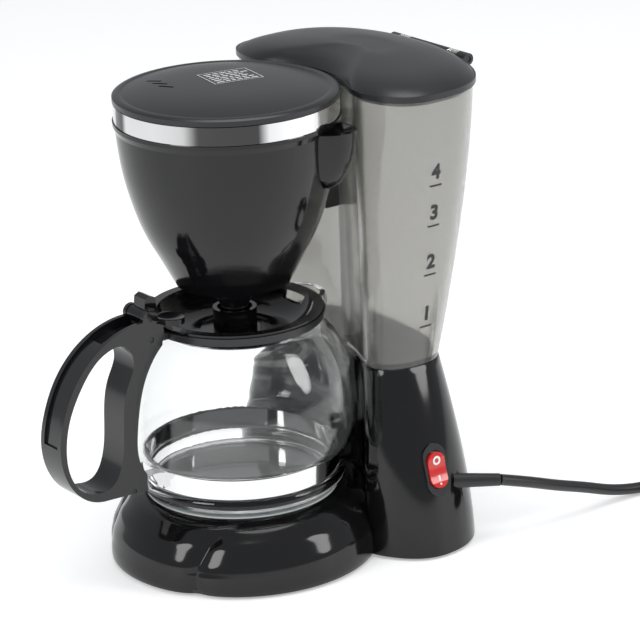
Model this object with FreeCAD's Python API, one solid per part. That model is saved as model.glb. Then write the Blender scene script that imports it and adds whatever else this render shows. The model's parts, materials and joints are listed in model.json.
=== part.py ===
"""Drip coffee maker: base with hot plate, rear column with a smoky water tank, swing-out brew basket with a
drip-stop valve, glass carafe, rocker switch and mains cord.

Millimetres, +Z up, +Y towards the water tank, +X towards the switch. Every piece is drawn about the carafe's
axis and moved by AXIS_Y when it is saved, so that the origin is the centre of the machine's footprint box.
"""
import FreeCAD, Part
import math
import os

V = FreeCAD.Vector
UP = V(0, 0, 1)

# ---------------------------------------------------------------- driving dimensions
GAP = 0.3                 # clearance between pieces that move past each other
SEAT = 0.05               # clearance between pieces that sit together in one body
WALL = 2.2                # wall of the housing and the tank
HANDLE_REACH = 115.0      # carafe axis to the front of the handle
LID_PIN_Y = 132.0         # carafe axis to the tank lid's hinge pin
LID_KNUCKLE_R = 3.2
AXIS_Y = (HANDLE_REACH - LID_PIN_Y - LID_KNUCKLE_R) / 2

FOOT_H = 1.5              # the housing stands this far above the table
BASE_R = 71.0             # round front of the base
BASE_TOP = 36.0           # top of the base around the hot plate
PLATE_R = 47.0            # hot plate
PLATE_TOP = 37.8
PLATE_T = 1.2

SEAM_Z = 98.0             # where the tank sits on the column
TANK_TOP = 243.0
FOOT_HALF_W = 82.5        # half widths and depths of the column and the tank
SEAM_HALF_W = 57.0
TANK_HALF_W = 74.5
FOOT_REAR = 120.0
SEAM_REAR = 106.5
TANK_REAR = 128.0
FOOT_FRONT = 32.0
SEAM_FRONT = 48.0
TANK_FRONT = 46.5
FLARE = 1.5               # exponent of the curved flare of the column and the tank
COLUMN_NOTCH_R = 64.0     # hollow front of the column, about the carafe's axis
TANK_NOTCH_R = 62.0
TANK_FLOOR = 2.5

BOWL_R = 57.6             # bead of the brew basket
BEAD_Z = 233.8
RIM_Z = 244.2             # top of the basket's neck
NECK_R = 55.8
BOWL_FLOOR = 146.5
BOWL_WALL = 2.0
TRIM_T = 1.15             # bright ring round the basket's neck
HINGE_X = -58.0           # upright pin that the basket swings on
HINGE_Y = 33.0
HINGE_PIN_R = 2.0
RUN = 0.08                # running clearance of a pin

LID_R = 57.2              # basket lid
LID_RIM_Z = 244.6
LID_TOP_Z = 252.8

VALVE_TIP_Z = 133.5
VALVE_TIP_R = 7.1
VALVE_R = 11.4
VALVE_LIFT = 3.0

CARAFE_Z = PLATE_TOP + GAP
GLASS_R = 62.1            # widest part of the glass
GLASS_WALL = 2.4
NECK_GLASS_R = 43.0
GLASS_TOP = 131.4
BAND_Z0 = 46.8            # steel band round the carafe's waist
BAND_Z1 = 57.0
WAIST_R = 50.2
HANDLE_W = 18.0
HANDLE_T = 3.6
CARAFE_PIN_Y = -58.0      # pin of the carafe's lid
CARAFE_PIN_Z = 142.0

RISER_Y = 76.0            # hot water riser in the tank
RISER_R = 4.5
RISER_BORE = 3.0
OUTLET_X = -26.0          # tank outlet to the heater
SPOUT_Z = 239.5
SPOUT_R = 3.3
SPOUT_TIP_Y = 50.0

HEATER_R = 26.0           # bend of the U-shaped heater
HEATER_Y = 4.0
HEATER_END_Y = 40.0
WATER_TUBE_R = 5.0
ROD_R = 3.3
HOSE_T = 1.6

SWITCH_Y = 70.5
SWITCH_Z = 46.0
SWITCH_TILT = 15.0        # the side wall leans in by this angle
BEZEL_W = 15.0
BEZEL_H = 28.0
ROCKER_W = 10.8
ROCKER_H = 20.0

CORD_D = 6.0
CORD_EXIT = V(75.2, 77.5, 35.8)     # in the saved frame, like the route below
COIL_TURN_R = 34.0                  # middle of the turns, three side by side and two on top
COIL_CENTRE = V(128.0, 221.0, 0.0)


# ---------------------------------------------------------------- helpers
def moved(shape):
    """The piece in the saved frame."""
    out = shape.copy()
    out.translate(V(0, AXIS_Y, 0))
    return out


def save(node, *shapes, shift=True):
    """One STEP file for a node. Several shapes stay separate solids."""
    solids = [s for shape in shapes for s in shape.Solids]
    solids = [moved(s) if shift else s for s in solids]
    whole = solids[0] if len(solids) == 1 else Part.makeCompound(solids)
    volume = sum(s.Volume for s in solids)
    print(f"{node}: {len(solids)} solid(s), {volume / 1000:.2f} cm3, valid {whole.isValid()}")
    whole.exportStep(f"parts/{node}.step")


def cyl(r, z0, z1, x=0.0, y=0.0):
    """Upright cylinder between two heights."""
    return Part.makeCylinder(r, z1 - z0, V(x, y, z0), UP)


def tube(r_out, r_in, z0, z1, x=0.0, y=0.0):
    """Upright ring between two heights."""
    return cyl(r_out, z0, z1, x, y).cut(cyl(r_in, z0 - 1, z1 + 1, x, y))


def rod(r, start, end):
    """Cylinder from point to point."""
    along = end.sub(start)
    return Part.makeCylinder(r, along.Length, start, along)


def box(x0, x1, y0, y1, z0, z1):
    """Box from its limits."""
    return Part.makeBox(x1 - x0, y1 - y0, z1 - z0, V(x0, y0, z0))


def spline(points):
    """Smooth edge through points."""
    curve = Part.BSplineCurve()
    curve.interpolate(points)
    return curve.toShape()


def path(*legs):
    """Wire in the XZ plane: a leg of two points is straight, a longer one is a smooth curve."""
    edges = []
    for leg in legs:
        pts = [V(r, 0, z) for r, z in leg]
        edges.append(Part.makeLine(pts[0], pts[1]) if len(pts) == 2 else spline(pts))
    return Part.Wire(Part.__sortEdges__(edges))


def turned(*legs, x=0.0, y=0.0):
    """Solid of revolution about an upright axis; the legs close on themselves or on the axis."""
    start, end = legs[0][0], legs[-1][-1]
    closing = [] if start == end else [[end, start]]
    face = Part.Face(path(*legs, *closing))
    solid = face.revolve(V(0, 0, 0), UP, 360)
    solid.translate(V(x, y, 0))
    return solid


def polygon(points):
    """Closed wire through 3D points."""
    return Part.makePolygon(points + [points[0]])


def slab_yz(points, x0, x1):
    """Prism with a YZ outline of straight edges."""
    face = Part.Face(polygon([V(x0, y, z) for y, z in points]))
    return face.extrude(V(x1 - x0, 0, 0))


def smooth_slab_yz(legs, x0, x1):
    """Prism with a YZ outline made of straight and curved legs."""
    edges = []
    for leg in legs:
        pts = [V(x0, y, z) for y, z in leg]
        edges.append(Part.makeLine(pts[0], pts[1]) if len(pts) == 2 else spline(pts))
    face = Part.Face(Part.Wire(Part.__sortEdges__(edges)))
    return face.extrude(V(x1 - x0, 0, 0))


def route_wire(points):
    """Straight runs joined by tangent arcs, and the arcs' radii."""
    edges = []
    radii = []
    start = points[0]
    for before, corner, after in zip(points, points[1:], points[2:]):
        run_in = corner.sub(before)
        run_out = after.sub(corner)
        half = run_in.getAngle(run_out) / 2
        back = 0.45 * min(run_in.Length, run_out.Length)
        radii.append(back / math.tan(half))
        d_in = V(run_in).normalize()
        d_out = V(run_out).normalize()
        a = corner.sub(V(d_in).multiply(back))
        b = corner.add(V(d_out).multiply(back))
        towards = V(d_out).sub(d_in).normalize()
        sagitta = back * math.tan(half) - radii[-1] * (1 / math.cos(half) - 1)
        middle = corner.add(V(towards).multiply(back * math.tan(half) - sagitta))
        edges.append(Part.makeLine(start, a))
        edges.append(Part.Arc(a, middle, b).toShape())
        start = b
    edges.append(Part.makeLine(start, points[-1]))
    return Part.Wire(edges), radii


def swept(points, r, bore=0.0):
    """Round tube along a route."""
    wire, radii = route_wire(points)
    along = points[1].sub(points[0])
    solid = None
    for size in (r, bore):
        if size > 0:
            ring = Part.Wire(Part.Circle(points[0], along, size).toShape())
            pipe = wire.makePipeShell([ring], True, False)
            solid = pipe if solid is None else solid.cut(pipe)
    return solid, wire, radii


# ---------------------------------------------------------------- plan of the column and the tank
def mix(a, b, t):
    """Value between a and b."""
    return a + (b - a) * t


def plan_sizes(z):
    """Half width, centre, front and rear of the plan at a height, and how square its front is."""
    if z <= SEAM_Z:
        t = (max(z, 0.0) / SEAM_Z) ** FLARE
        return (mix(FOOT_HALF_W, SEAM_HALF_W, t), mix(70.0, 77.0, t), mix(FOOT_FRONT, SEAM_FRONT, t),
                mix(FOOT_REAR, SEAM_REAR, t), mix(2.2, 3.2, t), COLUMN_NOTCH_R)
    t = 1 - (1 - min((z - SEAM_Z) / (TANK_TOP - SEAM_Z), 1.0)) ** FLARE
    return (mix(SEAM_HALF_W, TANK_HALF_W, t), mix(77.0, 80.0, t), mix(SEAM_FRONT, TANK_FRONT, t),
            mix(SEAM_REAR, TANK_REAR, t), mix(3.2, 3.4, t), mix(COLUMN_NOTCH_R, TANK_NOTCH_R, t))


def plan_point(angle, z, notch=True):
    """Point of the kidney outline: a superellipse pushed out of a circle about the carafe's axis."""
    half, centre, front, rear, square, notch_r = plan_sizes(z)
    c, s = math.cos(angle), math.sin(angle)
    n = 2.2 if s > 0 else square
    depth = rear - centre if s > 0 else centre - front
    r = ((abs(c) / half) ** n + (abs(s) / depth) ** n) ** (-1 / n)
    x, y = r * c, centre + r * s
    if notch:
        away = math.hypot(x, y)
        k = 14
        push = (away ** k + notch_r ** k) ** (1 / k) / away
        x, y = x * push, y * push
    return V(x, y, 0)


def outline(z, inset=0.0, notch=True, scale=1.0, at_z=None, count=56):
    """Closed smooth wire of the plan at a height, moved inwards by inset or scaled about its middle."""
    points = []
    step = 1e-3
    for i in range(count):
        a = 2 * math.pi * (i + 0.5) / count
        p = plan_point(a, z, notch)
        tangent = plan_point(a + step, z, notch).sub(plan_point(a - step, z, notch)).normalize()
        p = p.add(V(-tangent.y, tangent.x, 0).multiply(inset))
        middle = V(0, LID_MIDDLE_Y, 0)
        p = middle.add(p.sub(middle).multiply(scale))
        points.append(V(p.x, p.y, z if at_z is None else at_z))
    curve = Part.BSplineCurve()
    curve.interpolate(Points=points, PeriodicFlag=True)
    return Part.Wire(curve.toShape())


LID_MIDDLE_Y = 92.0


def column(z0, z1, inset=0.0, notch=True, sections=5):
    """Lofted solid of the plan between two heights."""
    wires = [outline(mix(z0, z1, i / (sections - 1)), inset, notch) for i in range(sections)]
    return Part.makeLoft(wires, True, False)


# ---------------------------------------------------------------- base and column
SLOPE = [(BASE_R, FOOT_H + 6.5), (BASE_R - 1.5, 16.0), (BASE_R - 6.0, 26.0), (BASE_R - 13.0, 33.0),
         (PLATE_R + 3.6, BASE_TOP)]
HOLE_R = PLATE_R + 2.0


def base_housing():
    """Front lobe, rear foot and column in one thin-walled moulding, open below and on top."""
    inner_slope = [(r - WALL, z - 0.6 * WALL) for r, z in SLOPE]
    top_in = inner_slope[-1]
    lobe = turned([(0, FOOT_H), (BASE_R, FOOT_H)], [(BASE_R, FOOT_H), SLOPE[0]], SLOPE,
                  [SLOPE[-1], (0, BASE_TOP)])
    lobe_in = turned([(0, 0), (BASE_R - WALL, 0)], [(BASE_R - WALL, 0), inner_slope[0]], inner_slope,
                     [top_in, (HOLE_R, top_in[1])], [(HOLE_R, top_in[1]), (HOLE_R, BASE_TOP + 1)],
                     [(HOLE_R, BASE_TOP + 1), (0, BASE_TOP + 1)])
    inner = column(FOOT_H - 2, SEAM_Z + 2, WALL)
    shelf = box(-SHELF_HALF_W, SHELF_HALF_W, 38, 60, FOOT_H, BASE_TOP - 1.6).cut(cyl(PLATE_R, 0, 50))
    shell = lobe.cut(lobe_in).cut(inner).fuse(column(FOOT_H, SEAM_Z).cut(inner).cut(lobe_in))
    shell = shell.fuse(shelf.cut(lobe_in).cut(inner))
    inside_w = SHELF_HALF_W - WALL
    shell = shell.cut(box(-inside_w, inside_w, 30, 74, -1, BASE_TOP - 1.6 - WALL))
    for piece in oval(BEZEL_W, BEZEL_H, -9, 6):
        shell = shell.cut(switch_frame(piece))
    exit_point = CORD_EXIT.sub(V(0, AXIS_Y, 0))
    out = ROUTE[0].sub(CORD_EXIT).normalize().multiply(10)
    shell = shell.cut(rod(GRIP_R + GAP, exit_point.sub(out), exit_point.add(out)))
    for x, y in SCREW_SPOTS:
        shell = shell.fuse(tube(4.0, 1.4, FOOT_H + 3.2, boss_height(x, y), x, y))
        if y > 0:
            x0, x1 = sorted((x + math.copysign(3.5, x), math.copysign(FOOT_HALF_W, x)))
            rib = box(x0, x1, y - 1, y + 1, FOOT_H + 3.2, boss_height(x, y))
            shell = shell.fuse(rib.common(column(FOOT_H, SEAM_Z, WALL / 2)))
    return shell


SHELF_HALF_W = 49.0
SCREW_SPOTS = [(-38.0, -40.0), (38.0, -40.0), (-54.0, 84.0), (54.0, 84.0)]
FOOT_SPOTS = [(-46.0, -30.0), (46.0, -30.0), (-60.0, 72.0), (60.0, 72.0)]


def boss_height(x, y):
    """Top of a screw boss: just into the wall above it."""
    return 30.0 if y < 0 else 26.0


def bottom_cover():
    """Flat closing plate with foot pockets, vents and screw holes."""
    z0, z1 = FOOT_H + 0.4, FOOT_H + 2.6
    lobe = cyl(BASE_R - WALL - GAP, z0, z1)
    rear = column(z0, z1, WALL + GAP, True, 2)
    bridge = box(-44 + GAP, 44 - GAP, 30, 74, z0, z1)
    plate = lobe.fuse(rear).fuse(bridge)
    for x, y in FOOT_SPOTS:
        plate = plate.cut(cyl(6.0, 0, z0 + 1.2, x, y))
    for x, y in SCREW_SPOTS:
        plate = plate.cut(cyl(1.7, 0, z1 + 1, x, y))
    for i in range(7):
        plate = plate.cut(box(-24 + 8 * i - 1.5, -24 + 8 * i + 1.5, -14, 22, 0, z1 + 1))
    return plate


def base_screws():
    """Four pan-head screws that hold the bottom cover."""
    screws = []
    for x, y in SCREW_SPOTS:
        z0 = FOOT_H + 0.4
        head = cyl(3.0, 0.3, z0, x, y).cut(box(x - 2, x + 2, y - 0.4, y + 0.4, 0, 0.8))
        screws.append(head.fuse(cyl(1.35, z0, 14.0, x, y)))
    return screws


def rubber_feet():
    """Four round pads pressed into the bottom cover."""
    return [cyl(5.9, 0, FOOT_H + 1.5, x, y) for x, y in FOOT_SPOTS]


# ---------------------------------------------------------------- heater under the plate
def hot_plate():
    """Pressed pan with a turned-down edge and a stud below."""
    under = PLATE_TOP - PLATE_T
    edge_z = BASE_TOP - 2.4
    pan = turned([(0, PLATE_TOP), (PLATE_R - 1.5, PLATE_TOP)],
                 [(PLATE_R - 1.5, PLATE_TOP), (PLATE_R - 0.4, PLATE_TOP - 0.4), (PLATE_R, PLATE_TOP - 1.5)],
                 [(PLATE_R, PLATE_TOP - 1.5), (PLATE_R, edge_z)],
                 [(PLATE_R, edge_z), (PLATE_R - 1, edge_z)], [(PLATE_R - 1, edge_z), (PLATE_R - 1, under)],
                 [(PLATE_R - 1, under), (0, under)])
    return pan.fuse(cyl(2.5, CLAMP_Z - 4.2, under, 0, STUD_Y))


STUD_Y = 10.0
TUBE_Z = PLATE_TOP - PLATE_T - 2 * ROD_R - WATER_TUBE_R - 2 * SEAT
CLAMP_Z = TUBE_Z - WATER_TUBE_R - SEAT


def plate_gasket():
    """Silicone ring between the plate and the housing."""
    z = BASE_TOP + SEAT
    r0 = PLATE_R + SEAT
    return turned([(r0, BASE_TOP - 2.2), (HOLE_R - SEAT, BASE_TOP - 2.2)],
                  [(HOLE_R - SEAT, BASE_TOP - 2.2), (HOLE_R - SEAT, z)], [(HOLE_R - SEAT, z), (HOLE_R + 1.2, z)],
                  [(HOLE_R + 1.2, z), (HOLE_R + 1.0, z + 0.7)], [(HOLE_R + 1.0, z + 0.7), (r0, z + 0.9)],
                  [(r0, z + 0.9), (r0, BASE_TOP - 2.2)])


def horseshoe(r, z, end_y, bore=0.0):
    """U-shaped round bar: a half turn at the front and two straight legs."""
    left = Part.makeLine(V(-HEATER_R, end_y, z), V(-HEATER_R, HEATER_Y, z))
    bend = Part.Arc(V(-HEATER_R, HEATER_Y, z), V(0, HEATER_Y - HEATER_R, z), V(HEATER_R, HEATER_Y, z)).toShape()
    right = Part.makeLine(V(HEATER_R, HEATER_Y, z), V(HEATER_R, end_y, z))
    wire = Part.Wire([left, bend, right])
    ring = Part.Wire(Part.Circle(V(-HEATER_R, end_y, z), V(0, -1, 0), r).toShape())
    solid = wire.makePipeShell([ring], True, False)
    if bore > 0:
        core = Part.Wire(Part.Circle(V(-HEATER_R, end_y, z), V(0, -1, 0), bore).toShape())
        solid = solid.cut(wire.makePipeShell([core], True, False))
    return solid


def heating_rod():
    """Sheathed element pressed against the plate, with a pin at each end."""
    z = PLATE_TOP - PLATE_T - ROD_R - SEAT
    body = horseshoe(ROD_R, z, 30.0)
    for x in (-HEATER_R, HEATER_R):
        body = body.fuse(rod(1.2, V(x, 29.0, z), V(x, 36.0, z)))
    return body


def heater_clamp():
    """Steel bar that pulls the water tube and the element up to the plate."""
    bar = box(-HEATER_R - 6, HEATER_R + 6, STUD_Y - 6, STUD_Y + 6, CLAMP_Z - 1.5, CLAMP_Z)
    return bar.cut(cyl(2.6, 0, 40, 0, STUD_Y))


def clamp_nut():
    """Hexagon nut on the plate's stud."""
    z1 = CLAMP_Z - 1.5 - SEAT
    hexagon = [V(5 * math.cos(i * math.pi / 3), STUD_Y + 5 * math.sin(i * math.pi / 3), z1 - 2.6) for i in range(6)]
    return Part.Face(polygon(hexagon)).extrude(V(0, 0, 2.6)).cut(cyl(2.55, 0, 40, 0, STUD_Y))


def thermostat():
    """Snap-action disc thermostat under the plate with two blades."""
    top = PLATE_TOP - PLATE_T - SEAT
    body = cyl(8.0, top - 9.0, top, 0, -9.0)
    for x in (-5, 5):
        body = body.fuse(box(x - 0.4, x + 0.4, -12.2, -5.8, top - 15.0, top - 8.5))
    return body


def thermal_fuse():
    """One-shot fuse lying under the clamp bar."""
    z = CLAMP_Z - 1.5 - SEAT - 2.0
    body = rod(2.0, V(17, STUD_Y - 6, z), V(17, STUD_Y + 6, z))
    return body.fuse(rod(0.5, V(17, STUD_Y - 12, z), V(17, STUD_Y + 12, z)))


# ---------------------------------------------------------------- water path
def water_tube():
    """Aluminium tube that boils the water."""
    return horseshoe(WATER_TUBE_R, TUBE_Z, HEATER_END_Y, WATER_TUBE_R - 1.4)


INLET = [V(OUTLET_X, HEATER_END_Y - 6, TUBE_Z), V(OUTLET_X, 67, TUBE_Z + 0.5), V(OUTLET_X, RISER_Y, 40),
         V(OUTLET_X, RISER_Y, 62)]
OUTLET = [V(HEATER_R, HEATER_END_Y - 6, TUBE_Z), V(HEATER_R, 67, TUBE_Z + 0.5), V(20, 80, 42), V(6, 80, 64),
          V(0, RISER_Y, 80), V(0, RISER_Y, SEAM_Z - 2)]


def hose(points):
    """Silicone hose that slips over the end of the water tube."""
    solid, _, _ = swept(points, WATER_TUBE_R + HOSE_T, WATER_TUBE_R + SEAT)
    return solid


def check_valve():
    """One-way valve between the tank outlet and the inlet hose."""
    x, y = OUTLET_X, RISER_Y
    body = tube(WATER_TUBE_R, 2.6, 55.0, 66.0, x, y).fuse(tube(7.5, 2.6, 64.0, 76.0, x, y))
    return body.fuse(tube(4.0, 2.6, 75.0, SEAM_Z - 4.0, x, y))


def tank_grommet():
    """Rubber seal of the tank's outlet nipple."""
    x, y = OUTLET_X, RISER_Y
    return tube(6.9, 4.0 + SEAT, SEAM_Z - 8, SEAM_Z - SEAT, x, y).fuse(
        tube(4.95, 2.8, SEAM_Z - 3.0, SEAM_Z + TANK_FLOOR + 0.6, x, y))


def riser_tube():
    """Pipe that carries hot water up through the tank."""
    wide = tube(WATER_TUBE_R, RISER_BORE, SEAM_Z - 14, SEAM_Z - SEAT - 1, 0, RISER_Y)
    return wide.fuse(tube(RISER_R, RISER_BORE, SEAM_Z - 2, SPOUT_Z - 4.5, 0, RISER_Y))


def water_spout():
    """Elbow on the riser that pours over the basket's rim."""
    cap = cyl(RISER_R + 1.8, SPOUT_Z - 12, SPOUT_Z + SPOUT_R + 0.5, 0, RISER_Y)
    arm = rod(SPOUT_R, V(0, RISER_Y, SPOUT_Z), V(0, SPOUT_TIP_Y, SPOUT_Z))
    bore = rod(SPOUT_R - 1.1, V(0, RISER_Y, SPOUT_Z - 0.3), V(0, SPOUT_TIP_Y - 1, SPOUT_Z - 0.3))
    socket = cyl(RISER_R + SEAT, SPOUT_Z - 13, SPOUT_Z - 4.4, 0, RISER_Y)
    way = cyl(RISER_BORE, SPOUT_Z - 5, SPOUT_Z, 0, RISER_Y)
    return cap.fuse(arm).cut(bore).cut(socket).cut(way)


def water_tank():
    """Smoky tank: tapered shell with a floor, a plug-in skirt and two ears for the lid's pin."""
    outer = column(SEAM_Z, TANK_TOP)
    inner = column(SEAM_Z, TANK_TOP, WALL).common(box(-200, 200, -200, 300, SEAM_Z + TANK_FLOOR, TANK_TOP + 5))
    skirt_out = Part.makeLoft([outline(SEAM_Z, WALL + 0.35, at_z=SEAM_Z - 4.5),
                               outline(SEAM_Z, WALL + 0.35, at_z=SEAM_Z)], True, True)
    skirt_in = Part.makeLoft([outline(SEAM_Z, WALL + 2.0, at_z=SEAM_Z - 6),
                              outline(SEAM_Z, WALL + 2.0, at_z=SEAM_Z)], True, True)
    tank = outer.fuse(skirt_out.cut(skirt_in)).cut(inner)
    for x in EARS:
        tank = tank.fuse(ear(x))
    tank = tank.cut(rod(LID_PIN_R + SEAT, V(-60, LID_PIN_Y, PIN_Z), V(60, LID_PIN_Y, PIN_Z)))
    tank = tank.cut(cyl(5.0, SEAM_Z - 1, SEAM_Z + 5, OUTLET_X, RISER_Y))
    tank = tank.cut(cyl(RISER_R + SEAT, SEAM_Z - 1, SEAM_Z + 5, 0, RISER_Y))
    return tank.cut(box(-SPOUT_R - GAP, SPOUT_R + GAP, 50, 70, SPOUT_Z - SPOUT_R - GAP, TANK_TOP + 1))


LID_PIN_R = 1.5
PIN_Z = TANK_TOP + 1.8
EARS = (-20.0, 20.0)
EAR_W = 8.0
HINGE_HALF = 31.0         # half the length of the lid's row of knuckles
KNUCKLES = ((-HINGE_HALF, -24.4), (-15.6, 15.6), (24.4, HINGE_HALF))


def ear(x):
    """Lug on the tank's rear rim that holds the lid's pin."""
    x0, x1 = x - EAR_W / 2, x + EAR_W / 2
    web = slab_yz([(TANK_REAR - 12.5, TANK_TOP - 14), (LID_PIN_Y + 1.5, TANK_TOP - 2),
                   (LID_PIN_Y + 1.5, PIN_Z), (LID_PIN_Y - 2.0, PIN_Z), (LID_PIN_Y - 4.0, TANK_TOP),
                   (TANK_REAR - 12.5, TANK_TOP - 0.5)], x0, x1)
    web = web.cut(column(SEAM_Z, TANK_TOP + 0.1, WALL * 0.5))
    return web.fuse(rod(LID_KNUCKLE_R, V(x0, LID_PIN_Y, PIN_Z), V(x1, LID_PIN_Y, PIN_Z)))


# ---------------------------------------------------------------- tank lid
LID_Z0 = TANK_TOP + 0.6
LID_OVER = 1.5            # how far the lid's rim overhangs the tank


def lid_outline(scale, z, over=LID_OVER):
    """Outline of the tank's lid, scaled about the middle of the kidney."""
    return outline(TANK_TOP, -over, scale=scale, at_z=z)


def tank_lid():
    """Domed kidney-shaped lid with a thin rim, an inner lip and a knuckle at the back."""
    rim = Part.makeLoft([lid_outline(1.0, LID_Z0), lid_outline(1.0, LID_Z0 + 2.8)], True, True)
    dome = Part.makeLoft([lid_outline(0.985, LID_Z0 + 2.7), lid_outline(0.93, LID_Z0 + 5.0),
                          lid_outline(0.78, LID_Z0 + 8.2), lid_outline(0.5, LID_Z0 + 10.6),
                          lid_outline(0.2, LID_Z0 + 11.6)], True, False)
    hollow = Part.makeLoft([lid_outline(0.9, LID_Z0 + 1.6), lid_outline(0.86, LID_Z0 + 3.4),
                            lid_outline(0.72, LID_Z0 + 6.4), lid_outline(0.45, LID_Z0 + 8.8),
                            lid_outline(0.2, LID_Z0 + 9.6)], True, False)
    well = Part.makeLoft([outline(TANK_TOP, WALL + 2.2, at_z=LID_Z0 - 3.0),
                          outline(TANK_TOP, WALL + 2.2, at_z=LID_Z0 + 1.8)], True, True)
    lip = Part.makeLoft([outline(TANK_TOP, WALL + 0.7, at_z=LID_Z0 - 2.6),
                         outline(TANK_TOP, WALL + 0.7, at_z=LID_Z0 + 0.2)], True, True)
    lip = lip.cut(box(-12, 12, 40, 80, 200, 260)).cut(box(-80, 80, 104, 150, 200, 260))
    lid = rim.fuse(dome).fuse(lip).cut(hollow).cut(well)
    knuckles = [rod(LID_KNUCKLE_R, V(x0, LID_PIN_Y, PIN_Z), V(x1, LID_PIN_Y, PIN_Z))
                for x0, x1 in KNUCKLES]
    bridges = [box(x0, x1, LID_PIN_Y - 12, LID_PIN_Y, LID_Z0, LID_Z0 + 2.4)
               for x0, x1 in KNUCKLES]
    for piece in knuckles + bridges:
        lid = lid.fuse(piece)
    for x in EARS:
        half = EAR_W / 2 + GAP
        lid = lid.cut(rod(LID_KNUCKLE_R + GAP + 0.2, V(x - half, LID_PIN_Y, PIN_Z), V(x + half, LID_PIN_Y, PIN_Z)))
        lid = lid.cut(box(x - half, x + half, LID_PIN_Y - 3, LID_PIN_Y + 6, LID_Z0 - 4, PIN_Z))
    return lid.cut(rod(LID_PIN_R + RUN, V(-60, LID_PIN_Y, PIN_Z), V(60, LID_PIN_Y, PIN_Z)))


# ---------------------------------------------------------------- brew basket
BOWL = [(29.5, 147.6), (33.2, 154.5), (37.2, 162.3), (41.0, 169.2), (44.3, 176.0), (46.9, 182.5), (49.2, 189.5),
        (51.6, 198.0), (53.8, 208.0), (55.6, 221.0), (56.4, 230.0)]
LEDGE_Z = 227.5
SLEEVE_R = 14.3


def notched(shape, z0):
    """Leaves a gap in the rear of a ring for the spout to pass as the basket swings."""
    return shape.cut(box(-SPOUT_R - 7.5, SPOUT_R + 3.0, 40, 66, z0, RIM_Z + 5))


def basket_bowl():
    """Deep round bowl with a beaded rim, a thumb tab, two hinge ears and a valve seat."""
    ins = [(r - BOWL_WALL, z + 0.3) for r, z in BOWL if z < 222]
    neck_in = NECK_R - BOWL_WALL
    outer = turned([(0, BOWL_FLOOR), (26.0, BOWL_FLOOR)], [(26.0, BOWL_FLOOR), BOWL[0]], BOWL,
                   [BOWL[-1], (BOWL_R, BEAD_Z - 1)], [(BOWL_R, BEAD_Z - 1), (BOWL_R, BEAD_Z + 0.9)],
                   [(BOWL_R, BEAD_Z + 0.9), (NECK_R, BEAD_Z + 0.9)], [(NECK_R, BEAD_Z + 0.9), (NECK_R, RIM_Z)],
                   [(NECK_R, RIM_Z), (0, RIM_Z)])
    inner = turned([(0, BOWL_FLOOR + 3), (26.0, BOWL_FLOOR + 3)], [(26.0, BOWL_FLOOR + 3), ins[0]], ins,
                   [ins[-1], (50.6, LEDGE_Z - 3)], [(50.6, LEDGE_Z - 3), (50.6, LEDGE_Z)],
                   [(50.6, LEDGE_Z), (neck_in, LEDGE_Z)], [(neck_in, LEDGE_Z), (neck_in, RIM_Z + 1)],
                   [(neck_in, RIM_Z + 1), (0, RIM_Z + 1)])
    outer = outer.fuse(cyl(SLEEVE_R, BOWL_FLOOR - 4.7, BOWL_FLOOR + 1)).fuse(thumb_tab())
    for z0, z1 in EAR_SPANS:
        outer = outer.fuse(hinge_ear(z0, z1))
    bowl = outer.cut(inner).cut(cyl(VALVE_R + 0.5, 130, BOWL_FLOOR)).cut(cyl(STEM_R + 0.7, 140, 152))
    bowl = bowl.cut(cyl(HINGE_PIN_R + SEAT, 190, 240, HINGE_X, HINGE_Y))
    return notched(bowl, SPOUT_Z - SPOUT_R - 0.8)


STEM_R = 6.3
EAR_SPANS = ((196.0, 200.0), (226.0, 231.0))
TAB_ANGLE = 31.0


def hinge_ear(z0, z1):
    """Flat ear that reaches from the bowl to the hinge pin."""
    reach = math.hypot(HINGE_X, HINGE_Y)
    ux, uy = HINGE_X / reach, HINGE_Y / reach
    side = V(-uy, ux, 0)
    near = V(ux, uy, 0).multiply(46.0)
    far = V(HINGE_X, HINGE_Y, 0)
    corners = [near.add(V(side).multiply(9)), far.add(V(side).multiply(5)), far.sub(V(side).multiply(5)),
               near.sub(V(side).multiply(9))]
    web = Part.Face(polygon([V(p.x, p.y, z0) for p in corners])).extrude(V(0, 0, z1 - z0))
    return web.fuse(cyl(5.4, z0, z1, HINGE_X, HINGE_Y))


def thumb_tab():
    """Half-bowl grip that the basket is swung by, with a dished top."""
    blob = Part.makeSphere(1.0)
    stretch = FreeCAD.Matrix()
    stretch.scale(17.0, 13.5, 31.0)
    blob = blob.transformGeometry(stretch)
    blob = blob.common(box(-30, 30, -30, 30, -40, 0))
    dish = ball(60.0, V(4, 0, 59.0))
    blob = blob.cut(dish)
    blob.translate(V(52.0, 0, 231.5))
    blob.rotate(V(0, 0, 0), UP, TAB_ANGLE)
    return blob


def trim_ring():
    """Bright band round the basket's neck."""
    return notched(tube(NECK_R + SEAT + TRIM_T, NECK_R + SEAT, BEAD_Z + 1.0, RIM_Z - SEAT), BEAD_Z)


def coffee_filter():
    """Conical permanent filter hung on the bowl's ledge."""
    shell = turned([(22.0, 166.0), (48.4, LEDGE_Z)], [(48.4, LEDGE_Z), (48.4, LEDGE_Z + SEAT)],
                   [(48.4, LEDGE_Z + SEAT), (53.5, LEDGE_Z + SEAT)], [(53.5, LEDGE_Z + SEAT), (53.5, LEDGE_Z + 1.5)],
                   [(53.5, LEDGE_Z + 1.5), (47.2, LEDGE_Z + 1.5)], [(47.2, LEDGE_Z + 1.5), (21.2, 167.2)],
                   [(21.2, 167.2), (0, 167.2)], [(0, 167.2), (0, 166.0)], [(0, 166.0), (22.0, 166.0)])
    return shell


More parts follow.
